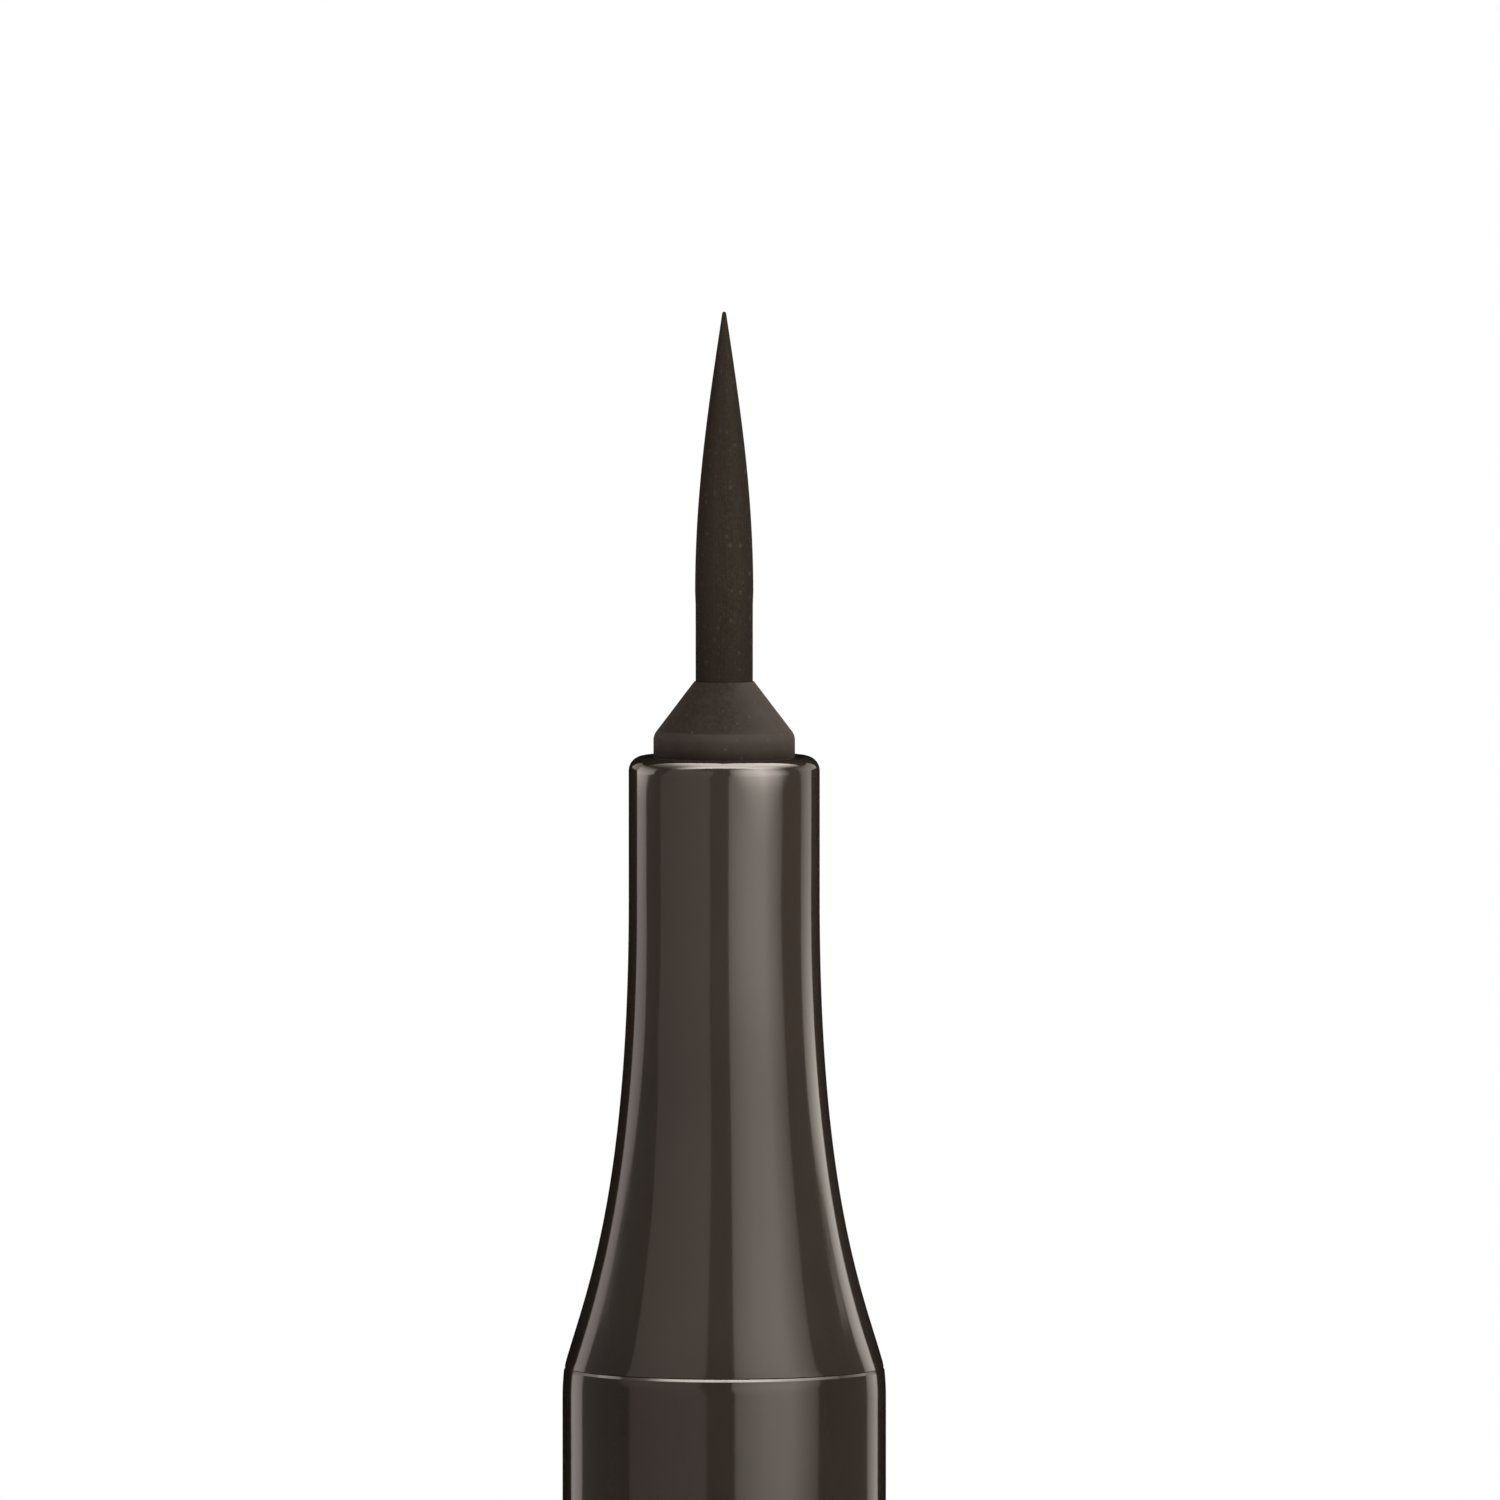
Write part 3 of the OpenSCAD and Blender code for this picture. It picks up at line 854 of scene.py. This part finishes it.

# %% [markdown]
# ## Holder plastic
#
# The holder has no polish. It is a satin moulding of a slightly lighter brown. Ink has dried on the
# middle and the left of its cone in fine dark grains. The right of the cone is painted lighter, as
# painted light, and a paler band at the edge where the cone begins is a painted highlight. Where the
# holder goes into the neck it is painted darker, as painted shade.

# %% Holder finish
holder_finish, tree, shader = new_finish("holder_satin", (68, 60, 54), 0.5)
height = height_mm(tree)
turn = around(tree)
clouds = noise(tree, own_mm(tree), 1.6, detail=4, roughness=0.6)
bare = blend(tree, spread(tree, clouds, 0.35, 0.65), (60, 52, 47), (65, 58, 53))
on_cone = spread(tree, height, cone_z + 0.08, cone_z + 0.18)
# The right of the holder, mostly on its cone, is painted lighter: painted light from the lamp on that
# side.
right_side = times(tree, spread(tree, turn, 0.46, 0.36), spread(tree, turn, 0.15, 0.3))
painted_right_light = times(tree, right_side, spread(tree, on_cone, 0, 1, 0.1, 0.8))
with_painted_right_light = blend(tree, painted_right_light, bare, (74, 67, 62))
grains = noise(tree, own_mm(tree), 9, detail=3, roughness=0.7)
inked_side = times(tree, spread(tree, turn, 0.40, 0.48), spread(tree, turn, 0.72, 0.6))
inked = times(tree, times(tree, on_cone, inked_side), spread(tree, grains, 0.34, 0.66, 0.3, 0.9))
dark_cone = blend(tree, inked, with_painted_right_light, (46, 40, 34))
# A paler band painted round the edge where the cone begins is a painted highlight.
crease_highlight = times(tree, spread(tree, height, cone_z - 0.3, cone_z - 0.02),
               spread(tree, height, cone_z + 0.16, cone_z + 0.1))
with_crease_highlight = blend(tree, times(tree, crease_highlight, 0.5), dark_cone, (80, 73, 67))
# The holder is painted darker where it goes into the neck's rim, as painted shade.
film = times(tree, spread(tree, height, neck_z + 0.32, neck_z + 0.04), 0.8)
with_rim_shade = blend(tree, film, with_crease_highlight, (40, 33, 32))
dust = specks(tree, wrap_mm(tree, 26, 2.1), size=0.12, share=0.4, ragged=0.25)
feed(shader, "Base Color", blend(tree, times(tree, dust, 0.4), with_rim_shade, (110, 97, 88)))
grit = noise(tree, own_mm(tree), 10, detail=3, roughness=0.6)
feed(shader, "Roughness", spread(tree, clouds, 0.35, 0.65, 0.7, 0.58))
feed(shader, "Specular IOR Level", 0.015)
relief(tree, shader, grit, 0.004)
dress(holder_finish, holder)

# %% [markdown]
# ## Brush fibre
#
# The filaments are soaked with brown ink and look matt and even. Close up they have a fine grain,
# hardly any of it along the strands, because the ink has dried over them. Pale dust and dried
# pigment sit on them as faint specks of all sizes. Both flanks of the bundle are painted darker than
# the flat of it, as painted shade, the right one a bit redder, and just left of the middle a paler
# patch is painted light.

# %% Brush finish
brush_finish, tree, shader = new_finish("inked_fibre", (52, 45, 39), 0.85)
turn = around(tree)
strands = noise(tree, own_mm(tree, (7, 7, 0.9)), 1.0, detail=3, roughness=0.6)
clouds = noise(tree, own_mm(tree), 0.9, detail=4, roughness=0.6)
grains = noise(tree, own_mm(tree), 11, detail=2, roughness=0.6)
tone = blend(tree, spread(tree, grains, 0.3, 0.7), (47, 41, 34), (57, 50, 43))
streaked = blend(tree, spread(tree, strands, 0.35, 0.7, 0, 0.3), tone, (44, 38, 31))
warm = blend(tree, spread(tree, clouds, 0.5, 0.7, 0, 0.5), streaked, (51, 41, 36))
# Both flanks of the bundle are painted darker than its middle, as painted shade towards its edges; the
# right one is a bit redder.
side_shade = spread(tree, math_of(tree, "COSINE", times(tree, turn, 4 * math.pi)), 0.6, -1)
right_side_shade = times(tree, side_shade, math_of(tree, "LESS_THAN", turn, 0.5))
left_side_shade = math_of(tree, "SUBTRACT", side_shade, right_side_shade)
# Just left of the middle a paler patch is painted light, where the lamps leave that side darker.
painted_left_light = times(tree, spread(tree, turn, 0.5, 0.56), spread(tree, turn, 0.66, 0.61))
with_painted_left_light = blend(tree, times(tree, painted_left_light, 0.32), warm, (66, 58, 51))
with_right_shade = blend(tree, times(tree, right_side_shade, 0.95), with_painted_left_light, (37, 30, 26))
soaked = blend(tree, times(tree, left_side_shade, 0.5), with_right_shade, (42, 34, 25))
height = height_mm(tree)
root = times(tree, spread(tree, height, exit_z + 3.5, exit_z), 0.35)
rooted = blend(tree, root, soaked, (34, 28, 22))
dust = specks(tree, wrap_mm(tree, 13, 2.2), size=0.2, share=0.55, ragged=0.35)
fine_dust = specks(tree, wrap_mm(tree, 34, 6), size=0.22, share=0.3, ragged=0.35)
dusty = blend(tree, times(tree, dust, 0.3), rooted, (104, 95, 87))
feed(shader, "Base Color", blend(tree, times(tree, fine_dust, 0.2), dusty, (104, 95, 87)))
feed(shader, "Sheen Weight", 0.01)
feed(shader, "Sheen Roughness", 0.5)
feed(shader, "Specular IOR Level", 0.01)
fuzz = noise(tree, own_mm(tree, (12, 12, 8)), 1.0, detail=3, roughness=0.6)
relief(tree, shader, fuzz, 0.005)
dress(brush_finish, brush_tip)

# %% [markdown]
# ## Inner cap
#
# The inner cap is a soft, waxy moulding, so it gets a rougher gloss and lets a little light into its
# skin. Ink from the brush has left a darker film near its mouth.

# %% Inner cap finish
seal_finish, tree, shader = new_finish("waxy_seal", (74, 66, 60), 0.38)
clouds = noise(tree, own_mm(tree), 0.8, detail=4, roughness=0.6)
waxy = blend(tree, spread(tree, clouds, 0.35, 0.7), (70, 62, 56), (82, 73, 67))
film_h = 6
near_mouth = spread(tree, height_mm(tree), head_of("inner_cap") - film_h, head_of("inner_cap"))
film = times(tree, near_mouth, spread(tree, clouds, 0.3, 0.6))
feed(shader, "Base Color", blend(tree, film, waxy, (50, 41, 36)))
feed(shader, "Roughness", spread(tree, clouds, 0.3, 0.7, 0.32, 0.46))
feed(shader, "Subsurface Weight", 0.08)
feed(shader, "Subsurface Radius", (0.0004, 0.0003, 0.0002))
relief(tree, shader, noise(tree, own_mm(tree), 6, detail=3), 0.002)
dress(seal_finish, "inner_cap")

# %% [markdown]
# ## Ink regulator and relay core
#
# Hidden in the front section, the fins of the regulator hold back spare ink when the air in the tank
# warms up. They are natural, milky plastic, stained brown where ink stands between them. The relay
# core that runs through it is bonded fibre, soaked from the tank up to the brush.

# %% Regulator finish
regulator_finish, tree, shader = new_finish("milky_plastic", (216, 210, 198), 0.4)
stain = noise(tree, own_mm(tree, (0.5, 0.5, 0.35)), 1.0, detail=5, roughness=0.6)
ragged_h = 12
ink_high = math_of(tree, "ADD", height_mm(tree), times(tree, stain, ragged_h))
wet_foot_z = foot_of("ink_regulator") + ragged_h
wet = spread(tree, ink_high, wet_foot_z + ragged_h, wet_foot_z)
feed(shader, "Base Color", blend(tree, wet, (216, 210, 198), (82, 62, 48)))
feed(shader, "Roughness", spread(tree, stain, 0.3, 0.7, 0.3, 0.5))
feed(shader, "Subsurface Weight", 0.1)
feed(shader, "Subsurface Radius", (0.0006, 0.0005, 0.0004))
relief(tree, shader, noise(tree, own_mm(tree), 5, detail=3), 0.002)
dress(regulator_finish, "ink_regulator")

# %% Relay core finish
core_finish, tree, shader = new_finish("soaked_core", (96, 80, 66), 0.8)
fibres = noise(tree, own_mm(tree, (7, 7, 0.5)), 1.0, detail=4, roughness=0.6)
soaked = noise(tree, own_mm(tree), 0.5, detail=3)
tone = blend(tree, spread(tree, fibres, 0.3, 0.7), (84, 68, 55), (116, 98, 82))
feed(shader, "Base Color", blend(tree, spread(tree, soaked, 0.35, 0.65), tone, (66, 52, 42)))
relief(tree, shader, fibres, 0.012)
dress(core_finish, "relay_core")

# %% [markdown]
# ## Steel
#
# The stirring ball is polished bearing steel in ink, so it is bright with a brown film in patches.
# The spring is drawn wire, greyer and rougher, with fine lines that follow the wire.

# %% Steel finishes
ball_finish, tree, shader = new_finish("ball_polish", (176, 172, 166), 0.12)
film = noise(tree, own_mm(tree), 0.9, detail=5, roughness=0.6)
feed(shader, "Base Color", blend(tree, spread(tree, film, 0.45, 0.7), (182, 178, 172), (110, 88, 70)))
feed(shader, "Metallic", 1.0)
feed(shader, "Roughness", spread(tree, film, 0.4, 0.75, 0.1, 0.4))
relief(tree, shader, noise(tree, own_mm(tree), 8, detail=3), 0.0006)
dress(ball_finish, ball)

wire_finish, tree, shader = new_finish("wire_drawn", (158, 155, 150), 0.32)
lines = noise(tree, own_mm(tree, (3, 3, 26)), 1.0, detail=3)
feed(shader, "Base Color", blend(tree, spread(tree, lines, 0.3, 0.7), (140, 137, 132), (172, 169, 164)))
feed(shader, "Metallic", 1.0)
feed(shader, "Roughness", spread(tree, lines, 0.3, 0.7, 0.26, 0.42))
relief(tree, shader, lines, 0.0015)
dress(wire_finish, spring)

# %% [markdown]
# ## Floor and background
#
# The pen stands on a plain pale floor, a round sheet that fades to pure white at its edge. The white
# is only what the eye, a mirror or a glass sees, through the Light Path node, and adds no light to
# the pen. The floor itself stays an ordinary pale surface, so it keeps the pen's shadow.

# %% Floor
floor_r = 600
floor_rings = [5, 20, 60, 120, 200, 300, 400, 500, floor_r]
floor_sides = 96
vertices, faces = [(0, 0, 0)], []
for radius in floor_rings:
    for i in range(floor_sides):
        a = 2 * math.pi * i / floor_sides
        vertices.append((radius * math.cos(a) * MM, radius * math.sin(a) * MM, 0))
for i in range(floor_sides):
    j = (i + 1) % floor_sides
    faces.append((0, 1 + i, 1 + j))
    for ring in range(len(floor_rings) - 1):
        low, high = 1 + ring * floor_sides, 1 + (ring + 1) * floor_sides
        faces.append((low + i, high + i, high + j, low + j))
floor = placed("floor", mesh_of("floor", vertices, faces))
floor_gap = 0.01
floor.location.z = -floor_gap * MM
print(f"floor: {2 * floor_r} mm across, {floor_gap} mm below the pen")

# %% Floor finish


def seen_rays(tree):
    """1 for a ray from the eye, from a mirror or through glass, 0 for light on its way."""
    path = add(tree, "ShaderNodeLightPath")
    mirrored = math_of(tree, "MAXIMUM", path.outputs["Is Camera Ray"], path.outputs["Is Glossy Ray"])
    return math_of(tree, "MAXIMUM", mirrored, path.outputs["Is Transmission Ray"])


white_from, white_at = 140, 520
floor_finish, tree, shader = new_finish("pale_floor", (226, 224, 221), 0.7)
clouds = noise(tree, own_mm(tree, (0.02, 0.02, 0.02)), 1.0, detail=4)
feed(shader, "Base Color", blend(tree, clouds, (222, 220, 217), (230, 228, 225)))
distance = add(tree, "ShaderNodeVectorMath", {0: own_mm(tree)}, operation="LENGTH")
fading = spread(tree, distance.outputs["Value"], white_from, white_at)
white = add(tree, "ShaderNodeEmission", {"Color": (1, 1, 1, 1), "Strength": 1.0})
mixed = add(tree, "ShaderNodeMixShader", {"Fac": times(tree, fading, seen_rays(tree)),
                                          1: shader.outputs["BSDF"], 2: white.outputs["Emission"]})
feed(tree.nodes["Material Output"], "Surface", mixed.outputs["Shader"])
dress(floor_finish, floor)

# %% World
ambient = 0.3
world = bpy.data.worlds.new("studio")
bpy.context.scene.world = world
world.use_nodes = True
tree = world.node_tree
background = tree.nodes["Background"]
feed(background, "Color", (1, 1, 1, 1))
feed(background, "Strength", spread(tree, seen_rays(tree), 0, 1, ambient, 1.0))
print(f"ambient light {ambient}")

# %% [markdown]
# ## Soft lamps
#
# Two large soft lamps light the colours: the main one from the front right and above, a weaker one
# from the front left. They are hidden from reflections, because the reflections have their own
# shapes, which the next step makes.

# %% Lamps
# The lamps and the tent are centred on this height.
studio_z = 130


def direction(azimuth, elevation):
    """Azimuth 0 is towards the camera, 90 to the right; elevation is above level."""
    a, e = math.radians(azimuth), math.radians(elevation)
    return Vector((math.sin(a) * math.cos(e), -math.cos(a) * math.cos(e), math.sin(e)))


def soft_lamp(name, azimuth, elevation, away, size, level, colour=(1, 1, 1)):
    """A square lamp aimed at the pen. level is how bright a white card at the pen would look, and
    away and size are in metres."""
    data = bpy.data.lights.new(name, "AREA")
    data.shape = "SQUARE"
    data.size = size
    data.energy = level * math.pi ** 2 * away ** 2
    data.color = colour
    lamp = placed(name, data)
    out = direction(azimuth, elevation)
    lamp.location = Vector((0, 0, studio_z * MM)) + out * away
    lamp.rotation_mode = "QUATERNION"
    lamp.rotation_quaternion = (-out).to_track_quat("-Z", "Y")
    lamp.visible_glossy = False
    lamp.visible_camera = False
    print(f"{name}: {data.energy:.2f} W")


soft_lamp("main_lamp", azimuth=60, elevation=22, away=0.9, size=0.45, level=0.78)
soft_lamp("fill_lamp", azimuth=-28, elevation=8, away=0.9, size=0.5, level=0.25,
          colour=(1.0, 0.93, 0.98))

# %% [markdown]
# ## What the gloss sees
#
# On a dark glossy tube nearly everything one sees is reflection. The photograph shows a wide bright
# band right of the middle, a dim one on the left, a thin bright strip near each side, and black
# edges. A studio makes these with white cards and black velvet round the object: a tube mirrors a
# card that stands at twice the angle of its surface. So here are curved cards, a hand's width away,
# and a dark tent behind them. They glow only for reflections: the eye doesn't see them, and they
# light no matt surface.
# Each card is a strip of a cylinder. Its edges are given by height, and its glow fades across it.
# The two side strips stand closer, at 30 mm, so that each follows the pen's own outline.

# %% Glowing finish
card_tint = (1.0, 0.91, 0.825, 1)


def glow_finish(name, strength, see_through=False, tint=card_tint):
    """A finish that glows as strongly as each point's own glow value says."""
    finish = bpy.data.materials.new(name)
    finish.use_nodes = True
    tree = finish.node_tree
    tree.nodes.remove(tree.nodes["Principled BSDF"])
    glow = add(tree, "ShaderNodeAttribute", attribute_name="glow")
    light = times(tree, glow.outputs["Fac"], strength)
    lit = add(tree, "ShaderNodeEmission", {"Color": tint, "Strength": light})
    surface = lit.outputs["Emission"]
    if see_through:
        clear = add(tree, "ShaderNodeBsdfTransparent")
        both = add(tree, "ShaderNodeAddShader", {0: surface, 1: clear.outputs["BSDF"]})
        surface = both.outputs["Shader"]
    feed(tree.nodes["Material Output"], "Surface", surface)
    return finish


# %% Card maker


def patch(name, place, glow, across, upwards, finish):
    """A grid of points. place(s, t) gives a point in millimetres and glow(s, t) its light."""
    vertices, faces, light = [], [], []
    for j in range(upwards + 1):
        for i in range(across + 1):
            s, t = i / across, j / upwards
            vertices.append(tuple(c * MM for c in place(s, t)))
            light.append(glow(s, t))
    row = across + 1
    for j in range(upwards):
        for i in range(across):
            at = j * row + i
            faces.append((at, at + 1, at + row + 1, at + row))
    mesh = mesh_of(name, vertices, faces)
    mesh.attributes.new("glow", "FLOAT", "POINT").data.foreach_set("value", light)
    mesh.materials.append(finish)
    card = placed(name, mesh)
    card.visible_camera = False
    card.visible_diffuse = False
    card.visible_shadow = False
    card.visible_transmission = False
    print(f"{name}: {len(faces)} faces")


def card(name, left, right, across_glow, up_glow, strength, away, clear=False, tint=card_tint):
    """A card round the pen. Its left and right edges are pairs of a height and an angle.
    across_glow has pairs of a place from 0 to 1 and its glow, up_glow of a height and its glow."""
    left, right, across, up = [tuple(zip(*pairs)) for pairs in (left, right, across_glow, up_glow)]
    even = np.linspace(left[0][0], left[0][-1], 60)
    rows = np.unique(np.concatenate([left[0], right[0], up[0], even]))
    rows = rows[(rows >= even[0]) & (rows <= even[-1])]

    def place(s, t):
        z = rows[round(t * (len(rows) - 1))]
        start, end = np.interp(z, *left), np.interp(z, *right)
        a = math.radians(start + (end - start) * s)
        return away * math.sin(a), -away * math.cos(a), z

    def glow(s, t):
        z = rows[round(t * (len(rows) - 1))]
        return float(np.interp(s, *across) * np.interp(z, *up))

    patch(name, place, glow, 90, len(rows) - 1,
          glow_finish(name + "_glow", strength, clear, tint))


# %% Key card
card_away = 110
card("key_card",
     left=((-10, 7.8), (128, 7.5), (131.5, 5), (138, 6), (150, 7.6), (225, 7.5)),
     right=((-10, 70), (128, 69.6), (131.5, 71.8), (135, 74), (137, 75), (150, 75), (165, 73),
            (185, 71.2), (225, 70.5)),
     across_glow=((0, 0.5), (0.13, 0.7), (0.34, 0.92), (0.55, 1), (0.66, 0.97), (0.76, 0.76),
                  (0.88, 0.53), (1, 0.28)),
     up_glow=((-10, 0.71), (111, 0.71), (113.5, 0.8), (128, 0.8), (131.5, 0.99), (134, 0.96),
              (136.5, 0.86), (138, 0.77), (157, 0.8), (175, 0.85), (185, 0.89), (225, 0.9)),
     strength=3.55, away=card_away)

# %% Fill card
fill_tint = (1.0, 0.86, 0.78, 1)
card("fill_card",
     left=((-10, -70), (128, -70), (131.5, -81.5), (135.5, -83), (138.5, -79), (143, -77.5),
           (150, -75), (165, -74.3), (185, -74), (225, -73)),
     right=((-10, -12), (128, -12), (131.5, -17), (135.5, -17.2), (143, -14.5), (150, -13.3),
            (225, -13.5)),
     across_glow=((0, 0.76), (0.1, 0.8), (0.3, 0.88), (0.5, 0.97), (0.85, 1), (0.95, 1), (1, 0.9)),
     up_glow=((-10, 0.76), (128, 0.76), (131.5, 0.9), (134.3, 0.88), (136, 0.8), (138, 0.85),
              (143, 0.86), (147, 0.95), (185, 0.97), (225, 0.97)),
     strength=0.95, away=card_away, tint=fill_tint)

# %% Side strips
strip_away = 30
card("left_strip",
     left=((-5, -132.5), (121, -132.5), (126.5, -132.3), (129.8, -130.3), (131.7, -127.6),
           (134, -126), (158, -125.5)),
     right=((-5, -114.2), (121, -114.2), (124, -114), (129.8, -115.2), (131.7, -113.8),
            (132.3, -110.3), (132.6, -107.3), (133.6, -103.2), (134.5, -102), (137, -104.5),
            (140.4, -104.5), (140.8, -101), (141.2, -94), (142, -90), (158, -90)),
     across_glow=((0, 0.8), (0.1, 0.95), (0.5, 1.05), (0.8, 1.0), (1, 0.9)),
     up_glow=((-5, 1.06), (121, 1.06), (130, 0.95), (135, 1.0), (136.7, 1.1), (138, 1.2), (140, 1.3),
              (140.5, 1.8), (140.9, 2.6), (142, 2.7), (150, 2), (158, 0.3)),
     strength=1.3, away=strip_away, tint=(1.0, 0.885, 0.83, 1))
card("right_strip",
     left=((-5, 115.2), (121, 115.2), (124, 115), (129.6, 116), (131.9, 113.2), (132.4, 108.2),
           (132.75, 104.9), (133.5, 102.1), (134.5, 101.3), (137, 101.7), (140.5, 102.5), (141, 100),
           (158, 98)),
     right=((-5, 133.3), (121, 133.3), (126.5, 132.9), (128.5, 131.6), (129.8, 130), (131, 128.6),
            (132.7, 127.1), (135.3, 125.2), (140, 126), (158, 126)),
     across_glow=((0, 0.4), (0.12, 0.66), (0.4, 0.88), (0.75, 1), (1, 0.95)),
     up_glow=((-5, 0.57), (121, 0.57), (126.5, 0.8), (129, 0.85), (132, 1.15), (133, 1.12),
              (134, 0.95), (136.5, 0.7), (138.5, 0.6), (141, 0.56), (150, 0.56), (158, 0.2)),
     strength=2.8, away=strip_away)

# %% Far strips, which only the bevel sees
for side in (-1, 1):
    card(f"bevel_strip_{(side + 1) // 2}",
         left=((152, 118 * side), (196, 110 * side)), right=((152, 152 * side), (196, 146 * side)),
         across_glow=((0, 0.6), (0.3, 1), (1, 0.8)), up_glow=((152, 0.6), (160, 1), (196, 0.8)),
         strength=1.25 + 0.15 * side, away=card_away)

# %% [markdown]
# ## Light from above, and the tent
#
# A wide flat card over the pen glows brightly. Only surfaces that lean back by some 30 degrees or
# more see it, and on this pen these are the rounded rim of the neck, the cone of the holder and the
# tiny bevel at the seam. The rim and the bevel turn into thin bright lines. The card weakens to the
# sides, where the lines fade out.
# The tent is dim velvet in front and black behind, which gives the pen its black edges.

# %% Overhead card
overhead_z = 630
overhead_half = 750
overhead_front_y = -320
overhead_back_y = 130


def overhead_place(s, t):
    """A point of the card, which reaches further back at its sides."""
    x = overhead_half * (2 * s - 1)
    back_y = overhead_back_y + 0.45 * abs(x)
    return x, overhead_front_y + (back_y - overhead_front_y) * t, overhead_z


def overhead_glow(s, t):
    """Weaker to both sides. The ends of the bright lines see the rear half of the card, and the
    left ends are fainter, so the rear half is weaker on the left."""
    x, y, _ = overhead_place(s, t)
    glow = np.interp(abs(x), (0, 165, 320, 430, 590, 700, 750), (1, 1, 0.75, 0.44, 0.16, 0.08, 0))
    back = np.interp(y, (-200, -100), (0, 1))
    weaker = np.interp(x, (-350, -230, -100, 150, 300, 450), (0.25, 0.5, 0.75, 0.8, 0.95, 1.2))
    return float(glow * (1 + back * (weaker - 1)))


patch("overhead_card", overhead_place, overhead_glow, 120, 30, glow_finish("overhead_glow", 13.8))

# %% Tent
tent_away = 1150


def tent_place(s, t):
    """A point of a wide round tent, open only straight above and below."""
    out = direction(-180 + 360 * s, -85 + 170 * t) * tent_away
    return out.x, out.y, out.z + studio_z


def tent_glow(s, t):
    """Dim in front and at the sides, and black behind the pen."""
    azimuth = -180 + 360 * s
    return float(np.interp(azimuth, (-126, -124, -105, -82, -76, -10, 10, 80, 124, 126),
                           (0.02, 1.0, 1.0, 0.95, 0.8, 1.15, 1.15, 0.75, 0.7, 0.02)))


patch("velvet_tent", tent_place, tent_glow, 180, 60, glow_finish("velvet", 0.25))

# %% [markdown]
# ## Near glow
#
# Below the rim the bright band swells into a soft V of light. A far card can't do that, because the
# neck is straight there. A small clear screen that stands only 12 mm off the neck can: so close,
# the height of the surface counts and not only its slope. Light passes through it and gains its
# glow.

# %% Near screen
near_away = 15
near_glows = ((-3.4, 0), (-2.9, 0.06), (-2.2, 0.16), (-1.8, 0.24), (-1.65, 0.3), (-1.45, 0.5),
              (-1.3, 0.88), (-1.15, 1.08), (-1, 1.25), (0, 1.5), (12, 1.5), (18, 0))
near_left = ((-3.4, 29), (-2.9, 27), (-2.2, 23), (-1.65, 19), (-1.3, 12), (-1, 7), (18, 5))
near_right = ((-3.4, 53), (-2.9, 57), (-2.2, 63), (-1.65, 68), (-1.3, 75), (-1, 79), (18, 82))


def from_neck(pairs):
    """Heights counted from the top of the neck."""
    return [(neck_z + h, value) for h, value in pairs]


card("near_glow", left=from_neck(near_left), right=from_neck(near_right),
     across_glow=((0, 0), (0.25, 0.6), (0.5, 1), (0.75, 0.6), (1, 0)),
     up_glow=from_neck(near_glows), strength=6.2, away=near_away, clear=True,
     tint=(1.0, 0.93, 0.86, 1))

# %% [markdown]
# ## Colours on screen
#
# The plain Standard view shows colours as they are written.

# %% View
bpy.context.scene.view_settings.view_transform = "Standard"
